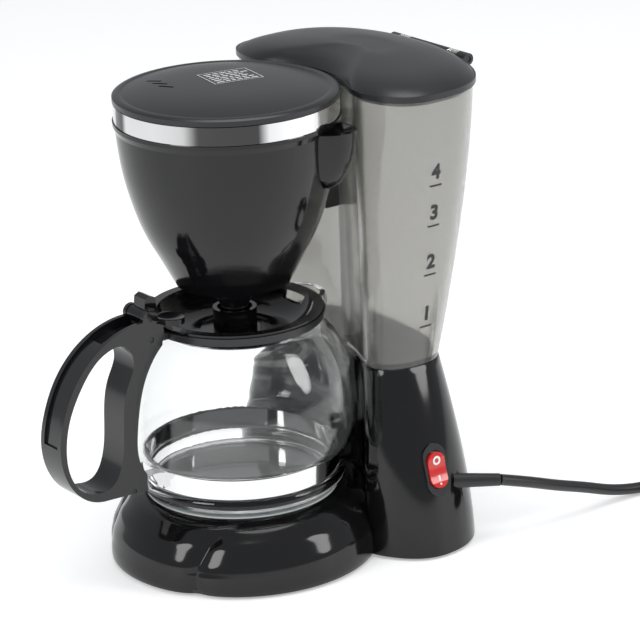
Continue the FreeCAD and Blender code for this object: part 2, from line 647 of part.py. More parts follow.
def basket_lid():
    """Low domed lid with a raised line near its rim, three hooded vents and an inner skirt."""
    lid = turned([(0, LID_RIM_Z), (LID_R, LID_RIM_Z)], [(LID_R, LID_RIM_Z), (LID_R, LID_RIM_Z + 2.6)],
                 [(LID_R, LID_RIM_Z + 2.6), (LID_R - 1.2, LID_RIM_Z + 3.4), (LID_R - 3.5, LID_RIM_Z + 3.8)],
                 [(LID_R - 3.5, LID_RIM_Z + 3.8), (LID_R - 5.0, LID_RIM_Z + 3.5)],
                 [(LID_R - 5.0, LID_RIM_Z + 3.5), (LID_R - 18, LID_RIM_Z + 6.2), (20, LID_RIM_Z + 7.8),
                  (0, LID_TOP_Z)])
    hollow = turned([(0, LID_RIM_Z - 1), (LID_R - 6.0, LID_RIM_Z - 1)],
                    [(LID_R - 6.0, LID_RIM_Z - 1), (LID_R - 6.0, LID_RIM_Z + 1.4)],
                    [(LID_R - 6.0, LID_RIM_Z + 1.4), (LID_R - 18, LID_RIM_Z + 4.2), (20, LID_RIM_Z + 5.8),
                     (0, LID_TOP_Z - 2)])
    skirt = tube(NECK_R - BOWL_WALL - 0.4, NECK_R - BOWL_WALL - 2.2, RIM_Z - 4.5, LID_RIM_Z + 1)
    skirt = skirt.cut(box(-14, 12, 40, 66, 230, LID_RIM_Z - 0.4))
    lid = lid.cut(hollow).fuse(skirt)
    for i in range(3):
        vent = box(-4.5, 4.5, -0.8, 0.8, 245, 256)
        vent.rotate(V(0, 0, 0), UP, 20)
        vent.translate(V(-28 + 7.5 * i, -24 - 1.5 * i, 0))
        lid = lid.cut(vent)
    for i in range(3):
        a = math.radians(90 + 120 * i)
        lid = lid.fuse(cyl(1.8, 236.0, LID_RIM_Z + 6.2, 24 * math.cos(a), 24 * math.sin(a)))
    return lid


def shower_plate():
    """Perforated dish under the lid with a trough that catches the spout's water."""
    dish = cyl(31.0, 233.2, 235.0).fuse(box(-5.5, 5.5, 20, SPOUT_TIP_Y - 0.8, 233.2, 235.0))
    for x in (-5.5, 4.5):
        dish = dish.fuse(box(x, x + 1.0, 31.5, SPOUT_TIP_Y - 0.8, 234.9, 235.6))
    for ring, count in ((10, 6), (18, 10), (27, 14)):
        for i in range(count):
            a = 2 * math.pi * (i + 0.5) / count
            dish = dish.cut(cyl(1.1, 230, 236, ring * math.cos(a), ring * math.sin(a)))
    for i in range(3):
        a = math.radians(90 + 120 * i)
        dish = dish.fuse(tube(3.0, 1.8 + SEAT, 235.0, 237.5, 24 * math.cos(a), 24 * math.sin(a)))
    return dish


def drip_valve():
    """Cone-ended plunger that closes the basket when the carafe is away."""
    cone = turned([(0, VALVE_TIP_Z), (VALVE_TIP_R, VALVE_TIP_Z)],
                  [(VALVE_TIP_R, VALVE_TIP_Z), (VALVE_TIP_R, VALVE_TIP_Z + 1.0)],
                  [(VALVE_TIP_R, VALVE_TIP_Z + 1.0), (VALVE_R, BOWL_FLOOR - 5.2)],
                  [(VALVE_R, BOWL_FLOOR - 5.2), (VALVE_R, BOWL_FLOOR - VALVE_LIFT - GAP)],
                  [(VALVE_R, BOWL_FLOOR - VALVE_LIFT - GAP), (STEM_R, BOWL_FLOOR - VALVE_LIFT - GAP)],
                  [(STEM_R, BOWL_FLOOR - VALVE_LIFT - GAP), (STEM_R, FLANGE_Z)], [(STEM_R, FLANGE_Z), (9.5, FLANGE_Z)],
                  [(9.5, FLANGE_Z), (9.5, FLANGE_Z + 2)], [(9.5, FLANGE_Z + 2), (0, FLANGE_Z + 2)])
    for i in range(4):
        a = math.radians(45 + 90 * i)
        cone = cone.cut(cyl(1.2, 130, BOWL_FLOOR - 0.5, 8.6 * math.cos(a), 8.6 * math.sin(a)))
    return cone


FLANGE_Z = BOWL_FLOOR + 3 + 0.9
CAGE_Z = FLANGE_Z + 2 + 9.0


def valve_seal():
    """Rubber washer under the plunger's flange."""
    return tube(9.3, STEM_R + SEAT, BOWL_FLOOR + 3 + GAP, FLANGE_Z - SEAT)


def valve_cage():
    """Slotted cap over the valve that the spring pushes against."""
    cage = tube(13.0, 11.4, BOWL_FLOOR + 3, CAGE_Z + 1.4).fuse(tube(12.0, 3.5, CAGE_Z, CAGE_Z + 1.4))
    for i in range(4):
        slot = box(-3, 3, 8, 16, BOWL_FLOOR + 4, CAGE_Z - 1)
        slot.rotate(V(0, 0, 0), UP, 45 + 90 * i)
        cage = cage.cut(slot)
    return cage


def valve_spring():
    """Light steel spring between the plunger and the cage."""
    wire_r = 0.5
    z0 = FLANGE_Z + 2 + wire_r + 0.05
    height = CAGE_Z - wire_r - 0.05 - z0
    helix = Part.makeHelix(height / 4, height, 7.0)
    ring = Part.Wire(Part.Circle(V(7.0, 0, 0), V(0, 1, 0), wire_r).toShape())
    coil = Part.Wire(helix).makePipeShell([ring], True, True)
    coil.translate(V(0, 0, z0))
    return coil


# ---------------------------------------------------------------- basket hinge on the tank
def basket_bracket():
    """Barrel on the tank's left horn that carries the hinge pin."""
    z0, z1 = EAR_SPANS[0][1] + GAP, EAR_SPANS[1][0] - GAP
    web = Part.Face(polygon([V(HINGE_X - 2.5, HINGE_Y + 1, z0), V(HINGE_X + 3.0, HINGE_Y, z0),
                             V(HINGE_X + 12, HINGE_Y + 24, z0), V(HINGE_X + 2, HINGE_Y + 26, z0)]))
    web = web.extrude(V(0, 0, z1 - z0)).cut(column(SEAM_Z, TANK_TOP))
    web = max(web.Solids, key=lambda s: -s.CenterOfMass.y)
    body = web.fuse(cyl(5.2, z0, z1, HINGE_X, HINGE_Y))
    return body.cut(cyl(HINGE_PIN_R + RUN, 190, 240, HINGE_X, HINGE_Y))


def hinge_pin():
    """Steel pin of the basket's hinge, pressed into the two ears."""
    return cyl(HINGE_PIN_R, EAR_SPANS[0][0] - 1.5, EAR_SPANS[1][1] - 0.5, HINGE_X, HINGE_Y)


def basket_catch():
    """Black rest on the tank's front that the bowl swings home against."""
    block = slab_yz([(57.2, 223), (70, 223), (70, 176), (53.5, 176), (52.8, 182)], -9.5, 9.5)
    bowl = [(r + 0.7, z) for r, z in BOWL]
    space = turned([(0, BOWL[0][1]), bowl[0]], bowl, [bowl[-1], (0, BOWL[-1][1])])
    return block.cut(column(SEAM_Z, TANK_TOP)).cut(space).Solids[0]


def lid_pin():
    """Pin of the tank lid's hinge."""
    half = HINGE_HALF - 0.5
    return rod(LID_PIN_R, V(-half, LID_PIN_Y, PIN_Z), V(half, LID_PIN_Y, PIN_Z))


# ---------------------------------------------------------------- carafe
GLASS = [(WAIST_R, BAND_Z1 + 0.4), (54.5, BAND_Z1 + 2.0), (58.2, BAND_Z1 + 4.0), (60.4, 65.5), (61.7, 72.0),
         (GLASS_R, 79.5), (61.6, 88.5), (59.8, 97.5), (56.8, 106.0), (52.6, 114.5), (47.8, 121.3),
         (NECK_GLASS_R + 0.9, 125.4), (NECK_GLASS_R, 127.6)]
SPOUT_LIP = V(0, 42.0, 127.5)


def ball(r, centre):
    """Sphere with its poles to the sides, so that a dish cut by it has none."""
    shape = Part.makeSphere(r)
    shape.rotate(V(0, 0, 0), V(1, 0, 0), 90)
    shape.translate(centre)
    return shape


def ellipsoid(centre, rx, ry, rz):
    """Stretched ball."""
    ball = Part.makeSphere(1.0)
    stretch = FreeCAD.Matrix()
    stretch.scale(rx, ry, rz)
    ball = ball.transformGeometry(stretch)
    ball.translate(centre)
    return ball


def carafe_glass():
    """Blown glass jug with a rolled foot, a waist for the band and a pouring lip."""
    z = CARAFE_Z
    wall = GLASS_WALL
    ins = [(r - wall, h) for r, h in GLASS]
    outer = turned([(0, z + 1), (43, z + 1)], [(43, z + 1), (44.5, z)], [(44.5, z), (49.5, z)],
                   [(49.5, z), (52.8, z + 2.2), (53.9, z + 5.2), (53.0, z + 7.6), (WAIST_R, BAND_Z0 - 0.4)],
                   [(WAIST_R, BAND_Z0 - 0.4), GLASS[0]], GLASS, [GLASS[-1], (NECK_GLASS_R, GLASS_TOP)],
                   [(NECK_GLASS_R, GLASS_TOP), (0, GLASS_TOP)])
    inner = turned([(0, z + 4), (40, z + 4)], [(40, z + 4), (45.5, z + 5.5), (WAIST_R - wall, BAND_Z0 + 2)],
                   [(WAIST_R - wall, BAND_Z0 + 2), ins[0]], ins, [ins[-1], (NECK_GLASS_R - wall, GLASS_TOP + 1)],
                   [(NECK_GLASS_R - wall, GLASS_TOP + 1), (0, GLASS_TOP + 1)])
    below = box(-60, 60, -80, 80, 100, GLASS_TOP)
    lip_out = ellipsoid(SPOUT_LIP, 15.0, 13.0, 11.0).common(below)
    lip_in = ellipsoid(SPOUT_LIP, 15.0 - wall, 13.0 - wall, 11.0 - wall)
    lip_in = lip_in.fuse(ellipsoid(SPOUT_LIP, 15.0 - wall, 13.0 - wall, 11.0 - wall).common(below))
    way = ellipsoid(V(0, 42.0, GLASS_TOP), 13.5 - wall, 12.0 - wall, 4.0)
    return outer.fuse(lip_out).cut(inner).cut(lip_in).cut(way)


def carafe_band():
    """Polished steel band round the waist with a lug for the handle."""
    band = tube(WAIST_R + 1.0, WAIST_R + SEAT, BAND_Z0, BAND_Z1)
    lug = box(-3.6, 3.6, -78.0, -WAIST_R - 0.2, 49.5, 56.5).fuse(box(-6, 6, -53.5, -WAIST_R + 1, 48.5, 57.0))
    lug = lug.cut(cyl(WAIST_R + SEAT, 40, 60))
    return band.fuse(lug).cut(rod(1.6, V(-12, -73.0, 53.0), V(12, -73.0, 53.0)))


COLLAR_R = 45.6


def carafe_collar():
    """Black ring clamped round the neck, open at the lip, with a block for the handle."""
    ring = turned([(NECK_GLASS_R + 0.1, 127.7), (COLLAR_R, 127.2)], [(COLLAR_R, 127.2), (COLLAR_R + 0.8, GLASS_TOP)],
                  [(COLLAR_R + 0.8, GLASS_TOP), (NECK_GLASS_R + 0.1, GLASS_TOP)],
                  [(NECK_GLASS_R + 0.1, GLASS_TOP), (NECK_GLASS_R + 0.1, 127.7)])
    ring = ring.cut(box(-17, 17, 20, 60, 100, 150))
    block = box(-6.0, 6.0, -63.0, -44.0, 127.6, 133.2).cut(cyl(NECK_GLASS_R + 0.1, 100, GLASS_TOP + 0.4))
    block = block.cut(cyl(COLLAR_R + 2.5, GLASS_TOP, 150))
    pin = rod(1.6, V(-20, UPPER_PIN_Y, UPPER_PIN_Z), V(20, UPPER_PIN_Y, UPPER_PIN_Z))
    return ring.fuse(block).cut(pin)


UPPER_PIN_Y = -58.0
UPPER_PIN_Z = 131.0
OUTER_HANDLE = [(-60.0, 141.0), (-77.0, 138.6), (-93.0, 129.8), (-104.2, 117.5), (-111.5, 102.5),
                (-HANDLE_REACH, 85.5), (-112.6, 71.0), (-104.5, 58.6), (-90.0, 52.6)]
HOLE_FRONT = [(-79.0, 132.2), (-90.5, 127.2), (-101.0, 115.0), (-108.0, 101.5), (-111.3, 86.0), (-109.6, 71.0),
              (-103.0, 61.0), (-95.0, 58.2)]
HOLE_BACK = [(-95.0, 58.2), (-84.0, 60.5), (-79.2, 70.0), (-77.0, 90.0), (-73.2, 110.0), (-69.0, 121.0),
             (-72.0, 129.4), (-79.0, 132.2)]
PLATE_EDGE = [(-64.5, 60.5), (-69.0, 71.0), (-68.6, 86.0), (-64.8, 105.0), (-58.5, 118.5), (-51.5, 126.6)]


def carafe_handle():
    """D-shaped handle: a thin wide grip, a deep upright and cheeks that hold the collar and the band."""
    half = HANDLE_W / 2
    body = smooth_slab_yz([OUTER_HANDLE, [(-90.0, 52.6), (-64.5, 51.6)], [(-64.5, 51.6), (-64.5, 60.5)], PLATE_EDGE,
                           [(-51.5, 126.6), (-50.0, 137.0)], [(-50.0, 137.0), (-60.0, 141.0)]], -half, half)
    hole = smooth_slab_yz([HOLE_FRONT, HOLE_BACK], -half - 1, half + 1)
    body = body.cut(hole)
    upper_slot = box(-6.3, 6.3, -64.0, -40.0, 120.0, 150.0)
    lower_slot = box(-3.9, 3.9, -79.0, -60.0, 49.0, 60.0)
    channel = slab_yz([(-63.0, 150.0), (-84.0, 150.0), (-84.0, 131.5), (-74.0, 134.6), (-63.0, 136.0)], -6.5, 6.5)
    body = body.cut(upper_slot).cut(lower_slot).cut(channel)
    groove = smooth_slab_yz([[(-84.0, 138.0), (-94.2, 130.9), (-105.6, 118.3), (-113.0, 102.9), (-116.6, 86.0)],
                             [(-116.6, 86.0), (-113.8, 86.0)],
                             [(-113.8, 86.0), (-110.2, 102.0), (-103.0, 116.8), (-92.2, 128.6), (-84.0, 133.6)],
                             [(-84.0, 133.6), (-84.0, 138.0)]], -6.0, 6.0)
    body = body.cut(groove)
    for side in (-1, 1):
        x0, x1 = sorted((side * 6.6, side * half))
        body = body.fuse(rod(4.4, V(x0, CARAFE_PIN_Y, CARAFE_PIN_Z), V(x1, CARAFE_PIN_Y, CARAFE_PIN_Z)))
    body = body.cut(rod(1.5, V(-20, CARAFE_PIN_Y, CARAFE_PIN_Z), V(20, CARAFE_PIN_Y, CARAFE_PIN_Z)))
    body = body.cut(rod(1.6, V(-20, UPPER_PIN_Y, UPPER_PIN_Z), V(20, UPPER_PIN_Y, UPPER_PIN_Z)))
    return body.cut(rod(1.6, V(-12, -73.0, 53.0), V(12, -73.0, 53.0)))


def handle_screws():
    """Two cross pins that hold the handle to the collar and to the band."""
    screws = []
    for y, z in ((UPPER_PIN_Y, UPPER_PIN_Z), (-73.0, 53.0 + 0.0)):
        shank = rod(1.5, V(-HANDLE_W / 2 + 0.4, y, z), V(HANDLE_W / 2 - 0.4, y, z))
        screws.append(shank)
    return screws


def carafe_lid_pin():
    """Steel pin of the carafe lid's hinge."""
    return rod(1.4, V(-HANDLE_W / 2 + 0.2, CARAFE_PIN_Y, CARAFE_PIN_Z), V(HANDLE_W / 2 - 0.2, CARAFE_PIN_Y, CARAFE_PIN_Z))


BOSS_R = 11.3


def carafe_lid():
    """Dished lid with a centre boss, a hinge barrel, a thumb fin and an oval thumb pad."""
    top = GLASS_TOP + 1.4
    floor = 121.4
    r = COLLAR_R
    wall_r = NECK_GLASS_R - GLASS_WALL - 0.6
    dish = turned([(r, GLASS_TOP + GAP), (r, top)], [(r, top), (wall_r + 0.4, top)],
                  [(wall_r + 0.4, top), (wall_r - 2.6, 128.0), (31.5, 123.6), (18.0, floor)],
                  [(18.0, floor), (0, floor)], [(0, floor), (0, floor - 2)], [(0, floor - 2), (18.0, floor - 2)],
                  [(18.0, floor - 2), (32.5, 121.2), (wall_r - 0.8, 126.5), (wall_r, GLASS_TOP + GAP)],
                  [(wall_r, GLASS_TOP + GAP), (r, GLASS_TOP + GAP)])
    boss = tube(BOSS_R, BOSS_R - 2.2, floor - 1, VALVE_TIP_Z - GAP)
    lid = dish.fuse(boss).cut(cyl(3.0, 100, 125))
    lid = lid.cut(box(-8, 8, 36, 50, 118, 131.0))
    barrel = rod(4.0, V(-6.1, CARAFE_PIN_Y, CARAFE_PIN_Z), V(6.1, CARAFE_PIN_Y, CARAFE_PIN_Z))
    arm = slab_yz([(CARAFE_PIN_Y, CARAFE_PIN_Z + 3.6), (-52, 143.5), (-46.5, 136.6), (-42.0, GLASS_TOP + 1.0),
                   (-44.6, GLASS_TOP + 1.0), (-51, 136.2), (CARAFE_PIN_Y, CARAFE_PIN_Z - 3.4)], -6.0, 6.0)
    fin = slab_yz([(-58.5, 144.5), (-57.8, 151.2), (-55.0, 152.6), (-51.8, 151.2), (-50.6, 140.5)], -4.8, 4.8)
    lid = lid.fuse(arm).fuse(barrel).fuse(fin)
    middle = V(13.4, -48.6, 139.9)
    rim = Part.Wire(Part.Ellipse(middle, 8.0, 6.4).toShape())
    pad = Part.Face(rim).extrude(V(0, 0, 2.8))
    pad = pad.cut(ball(18.0, V(middle.x, middle.y, middle.z + 19.4)))
    stalk = box(3.0, 9.5, -51.2, -46.9, 139.0, 141.2)
    lid = lid.fuse(stalk).fuse(pad)
    return lid.cut(rod(1.4 + RUN, V(-20, CARAFE_PIN_Y, CARAFE_PIN_Z), V(20, CARAFE_PIN_Y, CARAFE_PIN_Z)))


# ---------------------------------------------------------------- switch
def wall_x(z):
    """Half width of the column at a height."""
    return plan_sizes(z)[0]


def switch_frame(shape):
    """Places a shape drawn about +X at the origin onto the leaning side wall."""
    out = shape.copy()
    out.rotate(V(0, 0, 0), V(0, 1, 0), -SWITCH_TILT)
    out.translate(V(wall_x(SWITCH_Z) - 0.4, SWITCH_Y, SWITCH_Z))
    return out


def oval(width, height, x0, x1):
    """The box and the two round ends of an upright slot shape along X."""
    r = width / 2
    straight = height / 2 - r
    ends = [Part.makeCylinder(r, x1 - x0, V(x0, 0, z), V(1, 0, 0)) for z in (-straight, straight)]
    return [box(x0, x1, -r, r, -straight, straight)] + ends


def solid_oval(width, height, x0, x1):
    """Upright slot shape along X in one piece."""
    body, low, high = oval(width, height, x0, x1)
    return body.fuse(low).fuse(high).removeSplitter()


def switch_bezel():
    """Oval bezel and body of the switch, with the well that the rocker sits in."""
    well = solid_oval(ROCKER_W + 2 * GAP, ROCKER_H + 2 * GAP, -3.8, 2)
    ring = solid_oval(BEZEL_W - 0.2, BEZEL_H - 0.2, -5.8, 0.9).cut(well)
    core = box(-20, -5.7, -6.0, 6.0, -9.5, 9.5)
    body = ring.fuse(core).cut(box(-6, 0, -ROCKER_W / 2 - GAP, ROCKER_W / 2 + GAP, -6.6, 6.6))
    body = body.cut(rod(1.2 + RUN, V(ROCKER_X, -7.2, 0), V(ROCKER_X, 7.2, 0)))
    for z in (-6, 0, 6):
        body = body.fuse(box(-27, -19.8, -2.4, 2.4, z - 0.4, z + 0.4))
    return switch_frame(body)


ROCKER_X = -2.4


def switch_rocker():
    """Red rocker on a cross pin, at rest in the middle between its two tilts."""
    cap = solid_oval(ROCKER_W, ROCKER_H - 1.0, -1.6, 2.4)
    hollow_top = Part.makeCylinder(26.0, 40, V(27.6, -20, 0), V(0, 1, 0))
    cap = cap.cut(hollow_top)
    hub = rod(2.0, V(ROCKER_X, -4.6, 0), V(ROCKER_X, 4.6, 0)).fuse(box(-2.4, 0, -4.6, 4.6, -1.6, 1.6))
    pin = rod(1.2, V(ROCKER_X, -6.9, 0), V(ROCKER_X, 6.9, 0))
    return switch_frame(cap.fuse(hub).fuse(pin))


# ---------------------------------------------------------------- cord
GRIP_R = 4.0              # strain relief where it leaves the wall
GRIP_INSIDE = 6.0


ROUTE = [V(83.5, 95.0, 34.0), V(85.5, 113.0, 28.5), V(85.6, 133.0, 20.9), V(84.8, 153.0, 14.2),
         V(84.5, 172.0, 7.0), V(85.5, 190.0, 3.4), V(87.0, 206.0, 3.05), V(88.0, 220.0, 3.05)]


def cord_grip():
    """Tapered strain relief with a flange inside the wall."""
    start, end = CORD_EXIT.sub(V(0, AXIS_Y, 0)), ROUTE[0].sub(V(0, AXIS_Y, 0))
    along = end.sub(start)
    inside = V(along).normalize().multiply(GRIP_INSIDE)
    return Part.makeCone(GRIP_R, CORD_D / 2 + 0.3, along.Length + GRIP_INSIDE, start.sub(inside), along)


def power_cord():
    """The cord from the strain relief to its coil."""
    solid, wire, radii = swept(ROUTE, CORD_D / 2)
    section = math.pi * (CORD_D / 2) ** 2
    print("cord arc radii", [round(r, 1) for r in radii], "length", round(wire.Length, 1),
          "volume ratio", round(solid.Volume / (section * wire.Length), 4))
    return solid


def cord_coil():
    """Outer shape of the put-away turns: three in the lower layer and two on them."""
    x, y = COIL_CENTRE.x, COIL_CENTRE.y
    half = 1.5 * CORD_D
    lower = tube(COIL_TURN_R + half, COIL_TURN_R - half, 0.05, CORD_D, x, y)
    upper = tube(COIL_TURN_R + CORD_D, COIL_TURN_R - CORD_D, CORD_D - 0.5, COIL_TOP, x, y)
    return lower.fuse(upper)


COIL_TOP = 1.87 * CORD_D


def power_plug():
    """Flat two-pin plug lying beside the coil."""
    body = box(-12, 12, -11, 11, 0.3, 15.0)
    body = body.makeFillet(2.5, body.Edges)
    neck = Part.makeCone(4.6, 3.2, 16, V(-12, 0, 7.5), V(-1, 0, 0))
    blades = [box(11, 28, y - 0.75, y + 0.75, 4.5, 10.5) for y in (-6.35, 6.35)]
    plug = body.fuse(neck)
    for blade in blades:
        plug = plug.fuse(blade)
    plug.rotate(V(0, 0, 0), UP, -90)
    plug.translate(V(COIL_CENTRE.x + COIL_TURN_R, COIL_CENTRE.y - 8, COIL_TOP))
    return plug


os.makedirs("parts", exist_ok=True)
save("base_housing", base_housing())
save("bottom_cover", bottom_cover())
save("base_screws", *base_screws())
save("rubber_feet", *rubber_feet())
save("hot_plate", hot_plate())
save("plate_gasket", plate_gasket())
save("heating_element", heating_rod())
save("water_tube", water_tube())
save("heater_clamp", heater_clamp())
save("clamp_nut", clamp_nut())
save("thermostat", thermostat())
save("thermal_fuse", thermal_fuse())
save("inlet_hose", hose(INLET))
save("outlet_hose", hose(OUTLET))
save("check_valve", check_valve())
save("tank_grommet", tank_grommet())
save("riser_tube", riser_tube())
save("water_spout", water_spout())
save("water_tank", water_tank())
save("tank_lid", tank_lid())
save("tank_lid_pin", lid_pin())
save("basket_bowl", basket_bowl())
save("basket_trim_ring", trim_ring())
save("coffee_filter", coffee_filter())
save("basket_lid", basket_lid())
save("shower_plate", shower_plate())
save("drip_valve", drip_valve())
save("valve_seal", valve_seal())
save("valve_cage", valve_cage())
save("valve_spring", valve_spring())
save("basket_bracket", basket_bracket())
save("basket_hinge_pin", hinge_pin())
save("basket_catch", basket_catch())
save("carafe_glass", carafe_glass())
save("carafe_band", carafe_band())
save("carafe_collar", carafe_collar())
save("carafe_handle", carafe_handle())
save("handle_pins", *handle_screws())
save("carafe_lid", carafe_lid())
save("carafe_lid_pin", carafe_lid_pin())
save("switch_body", switch_bezel())
save("switch_rocker", switch_rocker())
save("cord_grip", cord_grip())
save("power_cord", power_cord(), shift=False)
save("cord_coil", cord_coil(), shift=False)
save("power_plug", power_plug(), shift=False)
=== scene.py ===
# %% [markdown]
# # A drip coffee maker, dressed in cells
# The exact shapes arrive from the CAD model, in metres. This lesson gives them light, a camera, finishes and the
# few soft or printed pieces that a solid modeller leaves plain: the mains cord, the cup scale and the labels.

# %% Load the frame
import json
import math

import bpy
import numpy as np
from mathutils import Matrix, Vector
from mathutils.bvhtree import BVHTree


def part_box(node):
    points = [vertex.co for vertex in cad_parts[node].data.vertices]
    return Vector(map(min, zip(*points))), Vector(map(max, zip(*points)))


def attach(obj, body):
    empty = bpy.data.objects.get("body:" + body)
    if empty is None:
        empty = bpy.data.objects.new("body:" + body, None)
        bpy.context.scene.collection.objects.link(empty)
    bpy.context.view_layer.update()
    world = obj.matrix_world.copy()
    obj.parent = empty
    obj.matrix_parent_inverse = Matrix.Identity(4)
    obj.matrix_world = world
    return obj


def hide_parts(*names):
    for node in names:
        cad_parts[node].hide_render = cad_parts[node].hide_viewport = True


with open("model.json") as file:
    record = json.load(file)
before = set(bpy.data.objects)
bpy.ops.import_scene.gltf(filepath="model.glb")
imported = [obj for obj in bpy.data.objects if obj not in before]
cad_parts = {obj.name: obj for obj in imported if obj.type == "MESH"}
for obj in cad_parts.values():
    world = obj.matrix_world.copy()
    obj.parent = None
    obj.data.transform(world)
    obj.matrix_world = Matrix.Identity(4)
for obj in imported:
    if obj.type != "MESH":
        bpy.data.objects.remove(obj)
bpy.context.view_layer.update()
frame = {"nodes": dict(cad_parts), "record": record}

MM = 0.001
nodes = frame["nodes"]
print("pieces from CAD:", len(nodes))

# %% [markdown]
# ## Where things are
# Landmarks come from the boxes of the CAD nodes. The brew basket and the jug share one upright axis; the basket's
# trim ring gives its x and the warming plate its y, and the table is at z = 0.

# %% Landmarks
low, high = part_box("basket_trim_ring")
AXIS = Vector(((low.x + high.x) / 2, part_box("hot_plate")[0].y + 47 * MM, 0))
LID_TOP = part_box("basket_lid")[1].z
print("upright axis at y =", round(AXIS.y, 4), "lid top at z =", round(LID_TOP, 4))

# %% [markdown]
# ## Camera
# A long lens far away keeps the verticals calm. The camera turns about Z to its heading, tips down, and rolls a
# little about its own line of sight; the three turns are multiplied in that order.

# %% Camera
camera_data = bpy.data.cameras.new("camera")
camera_data.lens = 180
camera_data.sensor_width = 36
camera = bpy.data.objects.new("camera", camera_data)
bpy.context.scene.collection.objects.link(camera)
CAMERA_FROM_AXIS = Vector((1.2677, -0.8877, 0.6732))
HEADING, TIP, ROLL = (math.radians(a) for a in (53.39, 70.45, -1.87))
turn = Matrix.Rotation(HEADING, 4, "Z")
tip = Matrix.Rotation(TIP, 4, "X")
roll = Matrix.Rotation(ROLL, 4, "Z")
camera.matrix_world = Matrix.Translation(AXIS + CAMERA_FROM_AXIS) @ turn @ tip @ roll
bpy.context.scene.camera = camera
print("camera at", [round(v, 3) for v in camera.location])

# %% [markdown]
# ## Mains cord
# A cord is one smooth line of fixed length. A NURBS spline through a short list of points hangs from
# the strain relief to the table, and a loop adds the put-away turns: three rings side by side, and more on top,
# each a cord's width from the next. The last points rise to the plug's neck. The section's radius is written on
# the points and the bevel depth is one, because a point's radius also pads the curve's bounding box.

# %% Cord route
CORD_D = 6.0 * MM
ROUTE = [(83.5, 95.0, 34.0), (85.5, 113.0, 28.5), (85.6, 133.0, 20.9), (84.8, 153.0, 14.2),
         (84.5, 172.0, 7.0), (85.5, 190.0, 3.4), (87.0, 206.0, 3.05), (88.0, 220.0, 3.05)]
coil_low, coil_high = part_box("cord_coil")
COIL = (coil_low + coil_high) / 2


def coil_turns():
    """Turns about the coil's centre: the angle falls evenly, and the radius and height glide from ring to ring."""
    radii = np.array([40.0, 34.0, 28.0, 31.0, 37.0]) * MM
    heights = np.array([3.05, 3.05, 3.05, 8.1, 8.1]) * MM
    per_turn = 16
    t = np.arange(1, per_turn * len(radii) - 11) / per_turn
    ring = np.minimum(t.astype(int), len(radii) - 1)
    after = np.minimum(ring + 1, len(radii) - 1)
    blend = np.clip((t - ring - 0.7) / 0.3, 0, 1)
    r = radii[ring] * (1 - blend) + radii[after] * blend
    z = heights[ring] * (1 - blend) + heights[after] * blend
    angle = math.pi - 2 * math.pi * t
    return np.stack([COIL.x + r * np.cos(angle), COIL.y + r * np.sin(angle), z], 1)


plug_low, plug_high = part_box("power_plug")
NECK = Vector(((plug_low.x + plug_high.x) / 2, plug_high.y, (plug_low.z + plug_high.z) / 2))
RISE = [(COIL.x + 13 * MM, COIL.y + 35.5 * MM, 10.0 * MM),
        (COIL.x + 24.5 * MM, COIL.y + 31.5 * MM, 13.5 * MM),
        (NECK.x - 1.5 * MM, NECK.y + 5 * MM, NECK.z - 1.0 * MM), (NECK.x, NECK.y - 6 * MM, NECK.z)]
points = np.vstack([np.array(ROUTE) * MM, coil_turns(), np.array(RISE)])
cord_curve = bpy.data.curves.new("mains_cord", "CURVE")
cord_curve.dimensions = "3D"
spline = cord_curve.splines.new("NURBS")
spline.points.add(len(points) - 1)
spline.points.foreach_set("co", np.hstack([points, np.ones((len(points), 1))]).ravel())
spline.points.foreach_set("radius", np.full(len(points), CORD_D / 2))
spline.order_u = 3
spline.use_endpoint_u = True
spline.resolution_u = 6
cord_curve.bevel_depth = 1.0
cord_curve.bevel_resolution = 5
cord_curve.use_fill_caps = True
cord = bpy.data.objects.new("mains_cord", cord_curve)
bpy.context.scene.collection.objects.link(cord)
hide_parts("power_cord", "cord_coil")
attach(cord, "machine")
print("cord points:", len(points), "runs add up to",
      round(float(np.linalg.norm(np.diff(points, axis=0), axis=1).sum()), 3), "m")

# %% [markdown]
# ## Stage and light
# A pale floor that glows a little, a soft sky and three large oval lights. Glossy black shows nothing but its
# surroundings, so the lights are placed for the highlights that describe the bowl, the jug and the column.

# %% Floor
floor_mesh = bpy.data.meshes.new("floor")
floor_mesh.from_pydata([(-4, -4, 0), (4, -4, 0), (4, 4, 0), (-4, 4, 0)], [], [(0, 1, 2, 3)])
floor = bpy.data.objects.new("floor", floor_mesh)
bpy.context.scene.collection.objects.link(floor)
floor_paint = bpy.data.materials.new("pale_floor")
floor_paint.use_nodes = True
for socket, value in (("Base Color", (0.86, 0.86, 0.86, 1)), ("Roughness", 0.6),
                      ("Emission Color", (1, 1, 1, 1)), ("Emission Strength", 0.35)):
    floor_paint.node_tree.nodes["Principled BSDF"].inputs[socket].default_value = value
floor_mesh.materials.append(floor_paint)

world = bpy.data.worlds.new("soft_sky")
world.use_nodes = True
world.node_tree.nodes["Background"].inputs["Color"].default_value = (0.95, 0.97, 1.0, 1)
world.node_tree.nodes["Background"].inputs["Strength"].default_value = 0.5
bpy.context.scene.world = world
bpy.context.scene.view_settings.view_transform = "Standard"


def soft_box(name, place, size, power):
    """Oval area light at a place, aimed at the middle of the machine."""
    data = bpy.data.lights.new(name, "AREA")
    data.shape = "ELLIPSE"
    data.size, data.size_y = size
    data.energy = power
    light = bpy.data.objects.new(name, data)
    bpy.context.scene.collection.objects.link(light)
    aim = Vector((0, 0, 0.13)) - Vector(place)
    light.matrix_world = Matrix.Translation(place) @ aim.to_track_quat("-Z", "Y").to_matrix().to_4x4()
    return light


soft_box("key_left", (0.2, -1.5, 0.9), (0.7, 0.9), 10)
soft_box("top", (0.1, 0.1, 1.6), (1.2, 1.2), 10)
soft_box("rim_right", (1.2, 0.9, 0.8), (0.5, 0.9), 7)
print("three oval lights")

